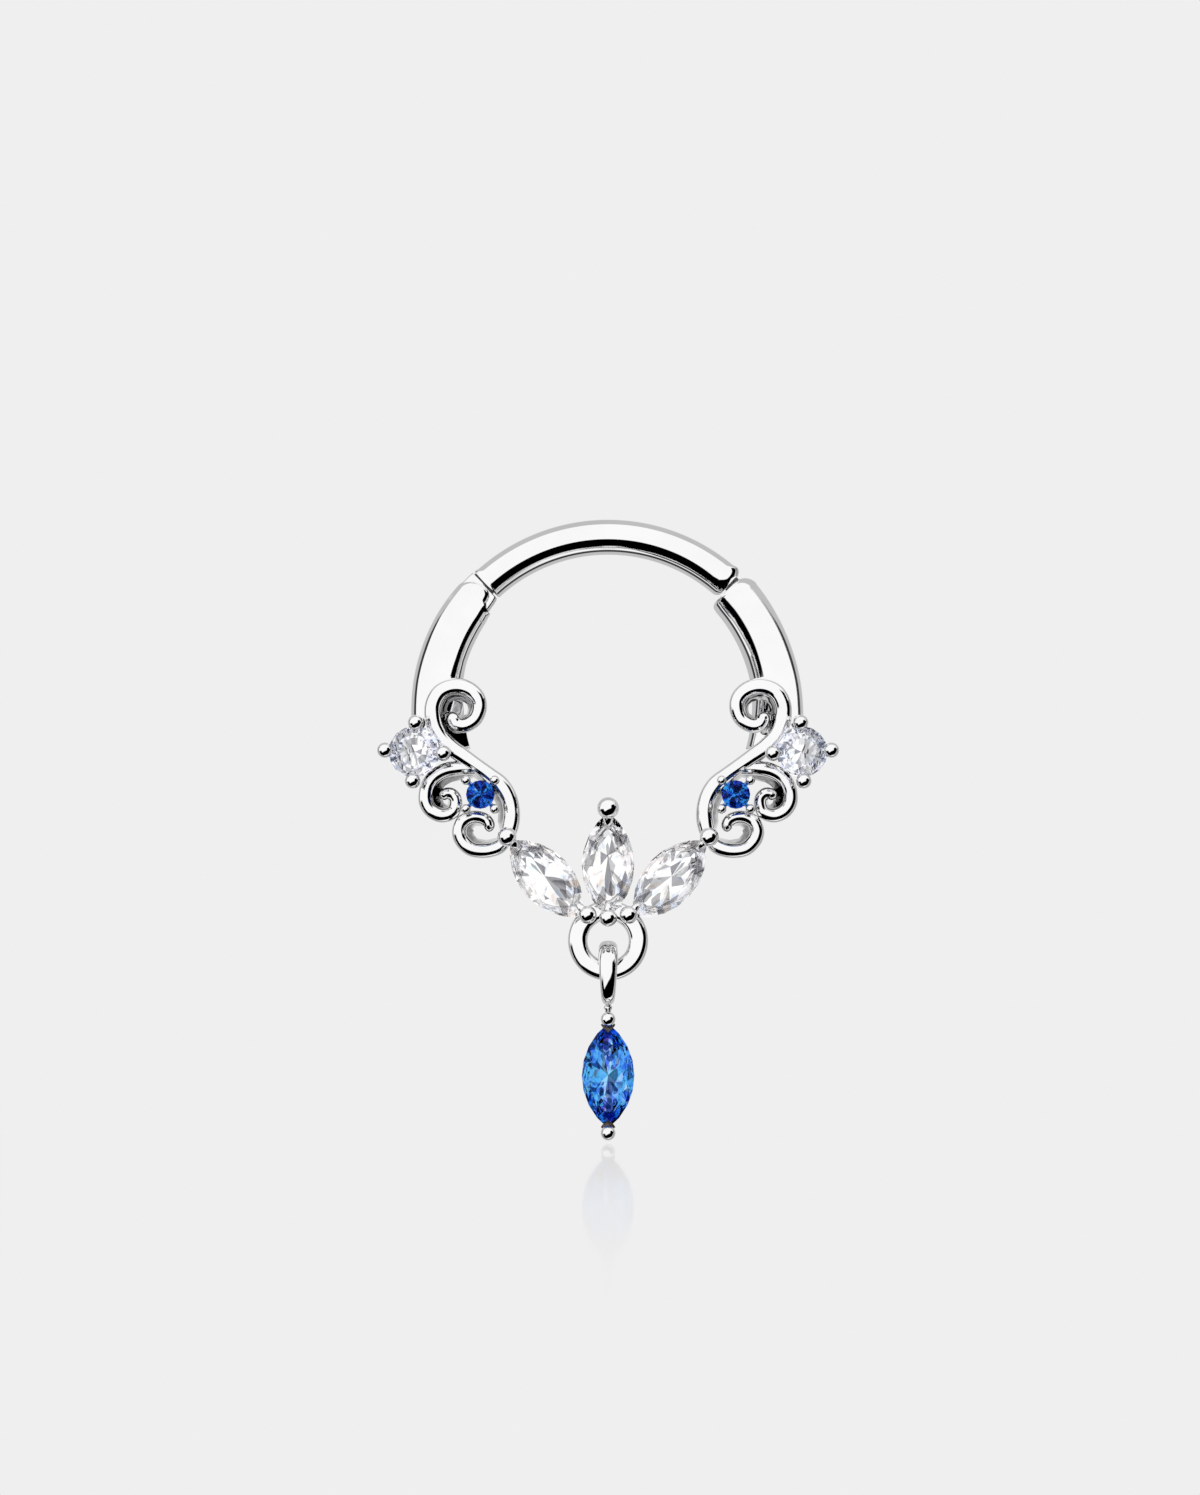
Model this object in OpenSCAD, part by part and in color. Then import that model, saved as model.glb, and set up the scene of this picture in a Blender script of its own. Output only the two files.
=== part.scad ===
// Hinged septum ring: a plain bar through the septum, two curved arms, and a fan of scrollwork and
// stones that hangs below them with a marquise drop.
// Origin at the middle of the bar's centre line. +Z is up and the front faces -Y.

/* [Ring] */
// Inside diameter across the arms, 3/8 inch
ring_id = 10; // [9:0.5:12]
// Thickness of the bar through the septum, 16 gauge
bar_gauge = 1.2; // [1:0.1:1.4]
// How far the bar's inner edge stands outside the arms' inner edge
bar_step = 0.35; // [0.25:0.05:0.4]
// Width of each arm, across the ring
arm_w = 1.65; // [1.6:0.05:1.8]
// Depth of each arm, front to back
arm_depth = 1.4; // [1.3:0.1:1.8]
// Angle above the horizontal at which the bar meets each arm
seam_angle = 46.6; // [42:0.2:50]
// Angle below the horizontal at which each arm ends
arm_end_angle = 14; // [12:1:18]
// Radius along the long edges of the bar and the arms
edge_r = 0.35; // [0.1:0.05:0.4]

/* [Hinge and closure] */
// Diameter of the hinge pin
pin_d = 0.4; // [0.35:0.01:0.5]
// Depth of the pin's centre below the arm's outer face
pin_inset = 0.5; // [0.46:0.01:0.54]
// Gap between the bar's ends and the arms
seam_gap = 0.06; // [0.04:0.01:0.1]
// Thickness of the hinge tongue
hinge_tongue_t = 0.44; // [0.36:0.02:0.5]
// Clearance round the tongues in their slots
slot_clear = 0.05; // [0.04:0.01:0.08]
// Radial clearance of the tongue's bore on the pin
pin_clear = 0.03; // [0.02:0.01:0.04]
// Length of the closing tongue on the bar's free end
click_l = 0.8; // [0.6:0.05:1]
// Thickness of the closing tongue
click_t = 0.4; // [0.3:0.05:0.5]
// Skin left in front of the pin's bore
pin_skin = 0.2; // [0.15:0.05:0.25]
// Clearance round and behind the pin in the arm
pin_play = 0.01; // [0.01:0.005:0.02]
// Reach of the left arm's ease, from the seam down to the arm's own inside diameter
ease_angle = 9; // [8:0.5:11]
// Radius of the curve of that ease
ease_r = 2.5; // [2.2:0.1:3]
// Rounding of the right arm's inner corner at the seam
corner_r = 0.2; // [0.1:0.05:0.25]

/* [Fan of stones] */
// Diameter of the clear round stones
round_d = 1.7; // [1.5:0.05:1.8]
// Diameter of the blue round stones
blue_d = 0.95; // [0.85:0.05:1]
// Length of the clear marquise stones
marquise_l = 3.5; // [3.3:0.05:3.6]
// Width of the clear marquise stones
marquise_w = 1.75; // [1.5:0.05:1.8]
// Height of the middle of the centre marquise below the ring's centre
centre_drop = 5; // [4.9:0.05:5.2]
// Distance of each side marquise's middle from the middle line
side_x = 2.05; // [2:0.05:2.2]
// Depth of each side marquise's middle below the ring's centre
side_drop = 5.46; // [5.3:0.02:5.6]
// Lean of the side marquises from upright
side_lean = 43; // [40:1:46]
// Distance of each round stone's centre from the middle line
round_x = 6.44; // [6.3:0.02:6.6]
// Depth of each round stone's centre below the ring's centre
round_drop = 1.24; // [1.1:0.02:1.4]

/* [Settings] */
// Front of the clear stones' girdles before the ring's middle plane
girdle_front = 1.75; // [1.7:0.05:1.9]
// Front of the blue round stones' girdles
blue_front = 1.6; // [1.55:0.05:1.7]
// Gap between a stone and its metal
stone_gap = 0.04; // [0.03:0.01:0.06]
// Diameter of the balls on the round stones' prongs
prong_ball_d = 0.52; // [0.44:0.02:0.56]
// Diameter of the balls on the blue stones' prongs
blue_ball_d = 0.28; // [0.24:0.02:0.32]
// Diameter of the claw bead at the top of the centre marquise
top_bead_d = 0.74; // [0.6:0.02:0.8]
// Diameter of the claw beads at the outer ends of the side marquises
tip_bead_d = 0.64; // [0.56:0.02:0.68]
// Diameter of the three claw beads at the foot of the fan
foot_bead_d = 0.6; // [0.54:0.01:0.64]
// How far the round stones' prongs stand off the girdle, to the balls' centres
prong_off = 0.12; // [0.08:0.01:0.18]
// How far the blue stones' prongs stand off the girdle
blue_off = 0.2; // [0.16:0.01:0.22]
// Height of the rails under the marquise stones
rail_h = 0.35; // [0.3:0.01:0.4]

/* [Scroll wires] */
// Width of the long scroll wire
long_wire_w = 0.52; // [0.46:0.02:0.56]
// Width of the two short scroll wires
short_wire_w = 0.45; // [0.4:0.01:0.48]
// Back of all the scroll wires before the ring's middle plane
wire_back = 0.6; // [0.5:0.02:0.64]
// Front of the long scroll wire
long_wire_front = 1.45; // [1.35:0.05:1.5]
// How far the outer short wire lies behind the long one
outer_step = 0.1; // [0.05:0.01:0.15]
// How far the lower short wire lies behind the long one
lower_step = 0.05; // [0.03:0.01:0.1]
// Bevel along the wires' front edges
wire_bevel = 0.12; // [0.06:0.02:0.14]

/* [Drop] */
// Outside diameter of the small ring that carries the drop
drop_ring_d = 2.62; // [2.5:0.02:2.8]
// Wire of that ring
drop_ring_wire = 0.57; // [0.5:0.01:0.6]
// Rounding of that wire's edges
drop_ring_edge = 0.16; // [0.12:0.01:0.2]
// Middle of that wire before the ring's middle plane
drop_ring_front = 1.25; // [1.2:0.05:1.35]
// Height to which that ring reaches behind the fan, above the centre marquise's foot
drop_ring_lap = 0.53; // [0.5:0.01:0.56]
// Outside diameter of the bail loop
bail_d = 2.1; // [2.06:0.02:2.2]
// Wire of the bail loop
bail_wire = 0.6; // [0.5:0.02:0.64]
// Length of the blue drop stone
drop_l = 3.5; // [3.3:0.05:3.8]
// Width of the blue drop stone
drop_w = 1.75; // [1.5:0.05:1.85]
// Diameter of the drop's claw balls
drop_ball_d = 0.5; // [0.46:0.01:0.56]
// Distance from the bail's foot to the stone's upper tip
neck_l = 0.66; // [0.56:0.02:0.8]
// How far the drop stone's girdle lies before the bail's middle
drop_girdle_step = 0.3; // [0.25:0.05:0.4]

/* [Hidden] */
$fn = 64;
SILVER = "silver";
// Depth to which soldered pieces run into each other, and a small step off a face
LAP = 0.1;
STEP = 0.02;
// Angle by which a cut sector runs past its cutting plane
PAST = 3;

// Ring: radii of the arms and the bar, and the ring's centre below the origin
arm_ir = ring_id / 2;
arm_or = arm_ir + arm_w;
bar_ir = arm_ir + bar_step;
bar_or = bar_ir + bar_gauge;
ring_z = -(bar_ir + bar_or) / 2;
arm_front = arm_depth / 2;

// Hinge, in the seam's own frame: u runs outward, t runs from the arm to the bar
knuckle_r = pin_inset + seam_gap / 2;
pin_u = arm_or - pin_inset;
pin_t = -seam_gap / 2 - knuckle_r;
tongue_r = knuckle_r - LAP;
slot_r = tongue_r + slot_clear;
click_w = bar_gauge / 2;
click_u = bar_or - edge_r - click_w;

// Stones: heights and table as shares of a stone's width
CROWN = 0.16;
PAVILION = 0.43;
TABLE = 0.57;
GIRDLE = 0.04;
// Rails sit this share of the pavilion's depth below the girdle
RAIL_SHARE = 0.4;
// Ring of the stars' lower corners: radius, and height in the crown
STAR_R = 0.8;
STAR_Z = 0.6;
// Ring where the lower girdle facets end: radius, and depth in the pavilion
BREAK_R = 0.25;
BREAK_Z = 0.77;

// Places of the stones in the ring's plane, from its centre, on the left
round_at = [-round_x, -round_drop];
side_axis = [-sin(side_lean), cos(side_lean)];
side_at = [-side_x, -side_drop];
tip_over = tip_bead_d / 4;
tip_at = side_at + (marquise_l / 2 + tip_over) * side_axis;

// The flank runs from the side marquise's outer bead to the round stone. The scrolls are drawn along it
flank = round_at - tip_at;
along = flank / norm(flank);
across = [along[1], -along[0]];
function on_flank(a, b) = tip_at + norm(flank) * (a * along + b * across);
// The blue stone's place: [share along the flank, share across it]
BLUE_PLACE = [0.384, 0.102];
blue_at = on_flank(BLUE_PLACE[0], BLUE_PLACE[1]);

// Claws: [ball's diameter, post's diameter, how far the ball's centre lies in from the stone's tip]
BALL = 0;
POST = 1;
OVER = 2;
ROUND_CLAW = [prong_ball_d, prong_ball_d / 2, -prong_off];
BLUE_CLAW = [blue_ball_d, blue_ball_d * 0.7, -blue_off];
TOP_CLAW = [top_bead_d, top_bead_d * 0.55, -top_bead_d * 0.19];
TIP_CLAW = [tip_bead_d, tip_bead_d * 0.55, -tip_over];
FOOT_CLAW = [foot_bead_d, foot_bead_d / 3, 0];
SIDE_FOOT_CLAW = [foot_bead_d, foot_bead_d / 3, -foot_bead_d / 12];
DROP_CLAW = [drop_ball_d, drop_ball_d / 2, -drop_ball_d * 0.28];
// The side marquises' foot beads stand this share of their size off the stone's axis
FOOT_ASIDE = 0.32;
// Turn of the prongs about the round and the blue stones
ROUND_TURN = -3;
BLUE_TURN = 45;

// Scroll wires: [share along the flank, share across it towards the middle, share of the wire's width]
LONG_SCROLL = [
    [0.00, 0.00, 0.90], [0.06, 0.11, 1.00], [0.13, 0.19, 1.00], [0.22, 0.25, 1.00], [0.33, 0.28, 1.00],
    [0.45, 0.275, 0.90], [0.57, 0.26, 0.90], [0.69, 0.245, 0.95], [0.81, 0.23, 1.00], [0.93, 0.235, 1.00],
    [1.03, 0.27, 1.00], [1.11, 0.33, 1.00], [1.16, 0.40, 1.00], [1.18, 0.49, 1.00], [1.15, 0.575, 1.00],
    [1.085, 0.64, 1.00], [1.00, 0.67, 0.95], [0.92, 0.66, 0.90], [0.86, 0.61, 0.85], [0.83, 0.54, 0.80],
    [0.84, 0.48, 0.75], [0.88, 0.43, 0.70], [0.93, 0.42, 0.60]];
OUTER_SCROLL = [
    [0.51, 0.27, 0.60], [0.59, 0.21, 0.85], [0.67, 0.14, 1.00], [0.73, 0.06, 1.00], [0.76, -0.03, 1.00],
    [0.75, -0.12, 1.00], [0.71, -0.19, 1.00], [0.66, -0.235, 1.00], [0.59, -0.25, 1.00], [0.52, -0.23, 1.00],
    [0.475, -0.185, 0.95], [0.46, -0.13, 0.90], [0.48, -0.08, 0.85], [0.52, -0.045, 0.80],
    [0.57, -0.045, 0.70], [0.60, -0.08, 0.60], [0.58, -0.12, 0.55]];
LOWER_SCROLL = [
    [0.00, 0.00, 0.80], [0.00, -0.09, 1.00], [0.04, -0.17, 1.00], [0.10, -0.23, 1.00], [0.17, -0.265, 1.00],
    [0.26, -0.26, 1.00], [0.32, -0.22, 1.00], [0.35, -0.15, 0.95], [0.33, -0.08, 0.90], [0.28, -0.03, 0.85],
    [0.22, -0.01, 0.80], [0.175, -0.03, 0.70], [0.18, -0.07, 0.60]];
STEPS = 3;

// Drop: the small ring hangs from the foot beads, and the bail hangs on the bottom of its wire
drop_ring_r = (drop_ring_d - drop_ring_wire) / 2;
drop_ring_at = [0, -centre_drop - marquise_l / 2 + drop_ring_lap - drop_ring_d / 2];
hang_at = drop_ring_at - [0, drop_ring_r];
bail_r = (bail_d - bail_wire) / 2;
drop_stone_at = hang_at - [0, bail_d / 2 + neck_l + drop_l / 2];
drop_girdle_front = drop_ring_front + drop_girdle_step;
// The neck's thickness at its top and its foot, as shares of the bail's wire
NECK_TOP = 0.7;
NECK_FOOT = 0.55;

// Puts a shape drawn in the ring's plane, with z towards the viewer, at its place in the part
module in_plane() {
    translate([0, 0, ring_z]) rotate([90, 0, 0]) children();
}

// The same shape on the left and mirrored on the right
module both_sides() {
    children();
    mirror([1, 0, 0]) children();
}

// The seam between the right arm and the bar: x outward, y from the arm to the bar
module at_seam() {
    rotate([0, 0, seam_angle]) children();
}

function rounded(w, h, r, n = 4) = [
    for (c = [[w - r, h - r, 0], [r, h - r, 90], [r, r, 180], [w - r, r, 270]], i = [0 : n])
        [c[0] + r * cos(c[2] + 90 * i / n), c[1] + r * sin(c[2] + 90 * i / n)]];

// A rounded square wire bent round the ring's centre
module ring_sector(r_in, w, depth, from, to) {
    rotate([0, 0, from]) rotate_extrude(angle = to - from)
        translate([r_in, -depth / 2]) polygon(rounded(w, depth, edge_r));
}

// Centre of a circle of radius r that passes through two points
function circle_through(p, q, r) =
    let (m = (p + q) / 2, d = q - p, n = [d[1], -d[0]] / norm(d))
    m + n * sqrt(r * r - norm(d) * norm(d) / 4);

// The right arm, cut square at the seam
module plain_arm() {
    difference() {
        ring_sector(arm_ir, arm_w, arm_depth, -arm_end_angle, seam_angle + PAST);
        at_seam() translate([0, -seam_gap / 2, -arm_depth]) cube([2 * arm_or, arm_or, 2 * arm_depth]);
    }
}

// Rounds the right arm's inner corner at the seam
module corner_cut() {
    at_seam() translate([arm_ir, -seam_gap / 2, -arm_depth]) difference() {
        translate([-LAP, -corner_r, 0]) cube([LAP + corner_r, corner_r + LAP, 2 * arm_depth]);
        translate([corner_r, -corner_r, -arm_depth]) cylinder(r = corner_r, h = 4 * arm_depth);
    }
}

// Eases the left arm where it steps in from the bar, drawn on the right
module ease_cut() {
    seam_foot = [bar_ir * cos(seam_angle), bar_ir * sin(seam_angle)];
    ease_foot = arm_ir * [cos(seam_angle - ease_angle), sin(seam_angle - ease_angle)];
    ease_at = circle_through(seam_foot, ease_foot, ease_r);
    translate([ease_at[0], ease_at[1], -arm_depth]) cylinder(r = ease_r, h = 2 * arm_depth);
}

// Slot for the hinge tongue, open outward and towards the bar, and the pin's blind bore from the back
module hinge_cut() {
    slot_t = hinge_tongue_t + 2 * slot_clear;
    at_seam() {
        translate([pin_u, pin_t, -slot_t / 2]) {
            cylinder(r = slot_r, h = slot_t);
            translate([-slot_r + STEP, 0, 0]) cube([slot_r + arm_w, arm_w, slot_t]);
            translate([0, -slot_r + STEP, 0]) cube([arm_w, arm_w, slot_t]);
        }
        translate([pin_u, pin_t, -arm_depth])
            cylinder(d = pin_d + 2 * pin_play, h = arm_depth + arm_front - pin_skin);
        // Rounds the knuckle's outer corner about the pin
        difference() {
            translate([pin_u + LAP / 2, pin_t + LAP / 2, -arm_depth]) cube([arm_w, arm_w, 2 * arm_depth]);
            translate([pin_u, pin_t, -2 * arm_depth]) cylinder(r = knuckle_r, h = 4 * arm_depth);
        }
    }
}

// Slot for the closing tongue, open outward and towards the bar
module click_cut() {
    slot_t = click_t + 2 * slot_clear;
    at_seam() translate([click_u - slot_clear, -click_l - 2 * slot_clear, -slot_t / 2])
        cube([arm_w, click_l + arm_w, slot_t]);
}

// Outline of a marquise: where two circles meet, its long axis upright
module marquise_outline(l, w) {
    r = (l * l + w * w) / (4 * w);
    intersection() {
        translate([r - w / 2, 0]) circle(r, $fn = 128);
        translate([w / 2 - r, 0]) circle(r, $fn = 128);
    }
}

// Rail under a marquise stone, whose inner edge follows the pavilion at that depth
module marquise_rail(l, w) {
    pavilion = w * PAVILION;
    share = 1 - RAIL_SHARE;
    translate([0, 0, -pavilion * RAIL_SHARE - rail_h]) linear_extrude(rail_h) difference() {
        marquise_outline(l - 2 * stone_gap, w - 2 * stone_gap);
        marquise_outline(l * share + 4 * stone_gap, w * share + 2 * stone_gap);
    }
}

// Height of a claw ball's centre over the girdle, clear of the crown's slope
function claw_rise(l, w, kind) =
    let (half = w * GIRDLE / 2, slope = (w * CROWN - half) / ((1 - TABLE) * l / 2))
    half + slope * kind[OVER] + (kind[BALL] / 2 + stone_gap) * sqrt(1 + slope * slope);

// A claw at a stone's upper tip: a link from the rail, a post beside the tip and a ball that leans over it
module claw(l, w, kind, aside = 0) {
    rail_top = -w * PAVILION * RAIL_SHARE;
    post_d = kind[POST];
    post_y = l / 2 + max(stone_gap + post_d / 2, -kind[OVER]);
    rise = claw_rise(l, w, kind);
    link_in = w * RAIL_SHARE / 2;
    link_w = post_d * 0.8;
    translate([aside, 0, 0]) {
        translate([0, post_y, rail_top - rail_h]) cylinder(d = post_d, h = rise - rail_top + rail_h);
        translate([0, l / 2 - kind[OVER], rise]) sphere(d = kind[BALL]);
        translate([-link_w / 2, l / 2 - link_in, rail_top - rail_h + STEP])
            cube([link_w, post_y - l / 2 + link_in, rail_h - 3 * STEP]);
    }
}

// Basket of a round stone: a collar down to the metal behind it, and four claws
module basket(d, kind, turn, back) {
    collar_h = -d * PAVILION * RAIL_SHARE - back;
    translate([0, 0, back]) difference() {
        cylinder(r = d / 2 - stone_gap, h = collar_h);
        translate([0, 0, -collar_h]) cylinder(r = d / 2 * (1 - RAIL_SHARE) + stone_gap, h = 3 * collar_h);
    }
    for (k = [0 : 3]) rotate([0, 0, turn + 90 * k]) claw(d, d, kind);
}

// A smooth curve through the rows of a table
function bend(p, q, r, s, t) =
    0.5 * (2 * q + (r - p) * t + (2 * p - 5 * q + 4 * r - s) * t * t + (3 * q - p - 3 * r + s) * t * t * t);
function smooth(rows) = let (n = len(rows)) concat(
    [for (i = [0 : n - 2], k = [0 : STEPS - 1])
        bend(rows[max(i - 1, 0)], rows[i], rows[i + 1], rows[min(i + 2, n - 1)], k / STEPS)],
    [rows[n - 1]]);

// A flat wire with bevelled front edges that follows a scroll's table
module scroll_wire(rows, w, front) {
    path = smooth(rows);
    n = len(path);
    spots = [for (p = path) on_flank(p[0], p[1])];
    rings = [for (i = [0 : n - 1])
        let (d = spots[min(i + 1, n - 1)] - spots[max(i - 1, 0)],
             side = [d[1], -d[0]] / norm(d),
             h = w * path[i][2] / 2,
             b = min(wire_bevel, h * 0.6))
        for (c = [[-h, wire_back], [h, wire_back], [h, front - b], [h - b, front], [b - h, front], [-h, front - b]])
            [spots[i][0] + side[0] * c[0], spots[i][1] + side[1] * c[0], c[1]]];
    faces = concat(
        [for (i = [0 : n - 2], j = [0 : 5])
            [i * 6 + j, i * 6 + (j + 1) % 6, i * 6 + 6 + (j + 1) % 6, i * 6 + 6 + j]],
        [[for (j = [5 : -1 : 0]) j]],
        [[for (j = [0 : 5]) (n - 1) * 6 + j]]);
    polyhedron(rings, faces);
}

// A cut stone: table, stars, kites, girdle and pavilion. outline holds its 16 girdle points
module cut_stone(outline, w) {
    ring = function (q, z, step, first) [for (i = [first : step : 15]) [outline[i][0] * q, outline[i][1] * q, z]];
    crown = w * CROWN;
    pavilion = w * PAVILION;
    half = w * GIRDLE / 2;
    points = concat(
        ring(TABLE, crown, 2, 0), ring(STAR_R, half + (crown - half) * STAR_Z, 2, 1),
        ring(1, half, 1, 0), ring(1, -half, 1, 0),
        ring(BREAK_R, -pavilion * BREAK_Z, 2, 1), [[0, 0, -pavilion]]);
    // First index of each ring: table, star, upper girdle, lower girdle, pavilion break, culet
    star = 8;
    upper = 16;
    lower = 32;
    break = 48;
    culet = 56;
    faces = concat(
        [[for (k = [7 : -1 : 0]) k]],
        [for (k = [0 : 7]) let (next = (k + 1) % 8, before = (k + 7) % 8, g = 2 * k) each [
            [k, next, star + k],
            [k, star + k, upper + g],
            [k, upper + g, star + before],
            [star + k, upper + g + 1, upper + g],
            [star + k, upper + (g + 2) % 16, upper + g + 1],
            [lower + g, lower + g + 1, break + k],
            [lower + g + 1, lower + (g + 2) % 16, break + k],
            [lower + g, break + k, culet],
            [lower + g, culet, break + before]]],
        [for (i = [0 : 15]) let (j = (i + 1) % 16) each [
            [upper + i, upper + j, lower + j],
            [upper + i, lower + j, lower + i]]]);
    polyhedron(points, faces);
}

function round_points(d) = [for (i = [0 : 15]) d / 2 * [cos(-22.5 * i), sin(-22.5 * i)]];

// Girdle points of a marquise, clockwise from its upper tip
function marquise_points(l, w) =
    let (r = (l * l + w * w) / (4 * w), half = asin(l / 2 / r))
    [for (i = [0 : 15]) let (s = i < 8 ? 1 : -1, a = half - (i % 8) * half / 4)
        [s * (r * cos(a) - r + w / 2), s * r * sin(a)]];

module ring_frame() color(SILVER) in_plane() {
    difference() {
        plain_arm();
        hinge_cut();
        corner_cut();
    }
    mirror([1, 0, 0]) difference() {
        plain_arm();
        click_cut();
        ease_cut();
    }
    both_sides() {
        scroll_wire(LONG_SCROLL, long_wire_w, long_wire_front);
        scroll_wire(OUTER_SCROLL, short_wire_w, long_wire_front - outer_step);
        scroll_wire(LOWER_SCROLL, short_wire_w, long_wire_front - lower_step);
        translate([round_at[0], round_at[1], girdle_front])
            basket(round_d, ROUND_CLAW, ROUND_TURN, arm_front - LAP - girdle_front);
        translate([blue_at[0], blue_at[1], blue_front])
            basket(blue_d, BLUE_CLAW, BLUE_TURN, wire_back + LAP - blue_front);
        translate([side_at[0], side_at[1], girdle_front]) rotate([0, 0, side_lean]) {
            marquise_rail(marquise_l, marquise_w);
            claw(marquise_l, marquise_w, TIP_CLAW);
            rotate([0, 0, 180]) claw(marquise_l, marquise_w, SIDE_FOOT_CLAW, -foot_bead_d * FOOT_ASIDE);
        }
    }
    translate([0, -centre_drop, girdle_front]) {
        marquise_rail(marquise_l, marquise_w);
        claw(marquise_l, marquise_w, TOP_CLAW);
        rotate([0, 0, 180]) claw(marquise_l, marquise_w, FOOT_CLAW);
    }
    translate([drop_ring_at[0], drop_ring_at[1], drop_ring_front])
        rotate_extrude() translate([drop_ring_r - drop_ring_wire / 2, -drop_ring_wire / 2])
            polygon(rounded(drop_ring_wire, drop_ring_wire, drop_ring_edge));
}

module hinge_pin() color("gray") in_plane() at_seam()
    translate([pin_u, pin_t, -arm_front]) cylinder(d = pin_d, h = arm_depth - pin_skin - 2 * pin_play);

module hinged_bar() color(SILVER) in_plane() {
    // The tongues run this far into the bar
    root = bar_gauge / 4;
    // Narrowing of the hinge tongue's neck on each side
    ease = 2 * STEP;
    neck_w = min(2 * (tongue_r - ease), bar_or - edge_r / 2 - pin_u + tongue_r - ease);
    difference() {
        ring_sector(bar_ir, bar_gauge, bar_gauge, seam_angle - PAST, 180 - seam_angle + PAST);
        for (side = [0, 1]) mirror([side, 0, 0]) at_seam()
            translate([0, seam_gap / 2 - arm_or, -arm_depth]) cube([2 * arm_or, arm_or, 2 * arm_depth]);
    }
    at_seam() difference() {
        translate([pin_u, pin_t, -hinge_tongue_t / 2]) {
            cylinder(r = tongue_r, h = hinge_tongue_t);
            translate([ease - tongue_r, 0, 0]) cube([neck_w, knuckle_r + seam_gap + root, hinge_tongue_t]);
        }
        translate([pin_u, pin_t, -hinge_tongue_t]) cylinder(d = pin_d + 2 * pin_clear, h = 2 * hinge_tongue_t);
    }
    mirror([1, 0, 0]) at_seam() translate([click_u, -click_l, -click_t / 2])
        cube([click_w, click_l + root, click_t]);
}

module clear_marquise() color("white") cut_stone(marquise_points(marquise_l, marquise_w), marquise_w);
module clear_round() color("white") cut_stone(round_points(round_d), round_d);
module blue_round() color("royalblue") cut_stone(round_points(blue_d), blue_d);

module centre_marquise() in_plane() translate([0, -centre_drop, girdle_front]) clear_marquise();
module left_marquise() in_plane() translate([side_at[0], side_at[1], girdle_front])
    rotate([0, 0, side_lean]) clear_marquise();
module right_marquise() mirror([1, 0, 0]) left_marquise();
module left_round_stone() in_plane() translate([round_at[0], round_at[1], girdle_front]) clear_round();
module right_round_stone() mirror([1, 0, 0]) left_round_stone();
module left_blue_stone() in_plane() translate([blue_at[0], blue_at[1], blue_front]) blue_round();
module right_blue_stone() mirror([1, 0, 0]) left_blue_stone();

// Bail loop, neck, rail and claws of the drop
module drop_setting() color(SILVER) in_plane() {
    translate([hang_at[0], hang_at[1], drop_ring_front]) rotate([0, 90, 0])
        rotate_extrude() translate([bail_r, 0]) circle(d = bail_wire);
    translate([0, hang_at[1] - bail_d / 2 + LAP, drop_ring_front]) rotate([90, 0, 0])
        cylinder(d1 = bail_wire * NECK_TOP, d2 = bail_wire * NECK_FOOT, h = neck_l);
    translate([0, drop_stone_at[1], drop_girdle_front]) {
        marquise_rail(drop_l, drop_w);
        for (turn = [0, 180]) rotate([0, 0, turn]) claw(drop_l, drop_w, DROP_CLAW);
    }
}

module drop_marquise() in_plane() translate([drop_stone_at[0], drop_stone_at[1], drop_girdle_front])
    color("deepskyblue") cut_stone(marquise_points(drop_l, drop_w), drop_w);

ring_frame();
hinge_pin();
hinged_bar();
centre_marquise();
left_marquise();
right_marquise();
left_round_stone();
right_round_stone();
left_blue_stone();
right_blue_stone();
drop_setting();
drop_marquise();
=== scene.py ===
"""A hinged septum ring with scrollwork, set stones and a swinging drop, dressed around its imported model."""

import math
import random

import bpy
from mathutils import Matrix, Vector


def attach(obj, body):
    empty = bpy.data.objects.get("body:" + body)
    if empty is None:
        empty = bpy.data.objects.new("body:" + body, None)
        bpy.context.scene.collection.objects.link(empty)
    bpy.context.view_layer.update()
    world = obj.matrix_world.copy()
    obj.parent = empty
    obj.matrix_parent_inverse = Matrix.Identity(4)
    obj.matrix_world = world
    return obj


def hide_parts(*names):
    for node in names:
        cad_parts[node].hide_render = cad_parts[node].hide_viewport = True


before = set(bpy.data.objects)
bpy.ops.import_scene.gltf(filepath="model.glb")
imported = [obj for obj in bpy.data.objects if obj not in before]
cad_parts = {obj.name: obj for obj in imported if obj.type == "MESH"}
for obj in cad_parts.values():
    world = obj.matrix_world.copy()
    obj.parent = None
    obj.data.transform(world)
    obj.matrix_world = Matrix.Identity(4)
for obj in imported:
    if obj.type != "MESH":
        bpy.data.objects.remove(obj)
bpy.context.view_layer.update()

# Studio. A long lens looks straight at the front of the ring, which hangs in a light tent. The tent is white in
# front and grey behind, with a dark slit where the two meet, and has black flags low in front and at both sides.
# Polished steel mirrors these, and what the camera sees past the ring is an even pale wall.
MM = 0.001
LENS = 150
FILM = 36
VIEW_H = 49.83
VIEW_X = -0.27
VIEW_Z = -7.05
FOCUS_FRONT = 1.1
WALL = 0.863
BACK_LIGHT = 0.54
SLIT_LIGHT = 0.04
SIDE_LIGHT = 0.5

scene = bpy.context.scene
scene.view_settings.view_transform = "Standard"
camera_data = bpy.data.cameras.new("camera")
camera_data.lens = LENS
camera_data.sensor_width = FILM
camera_data.clip_start = 0.01
camera_data.clip_end = 10
camera = bpy.data.objects.new("camera", camera_data)
camera.location = Vector((VIEW_X, -(VIEW_H * LENS / FILM + FOCUS_FRONT), VIEW_Z)) * MM
camera.rotation_euler = (math.radians(90), 0, 0)
scene.collection.objects.link(camera)
scene.camera = camera


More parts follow.
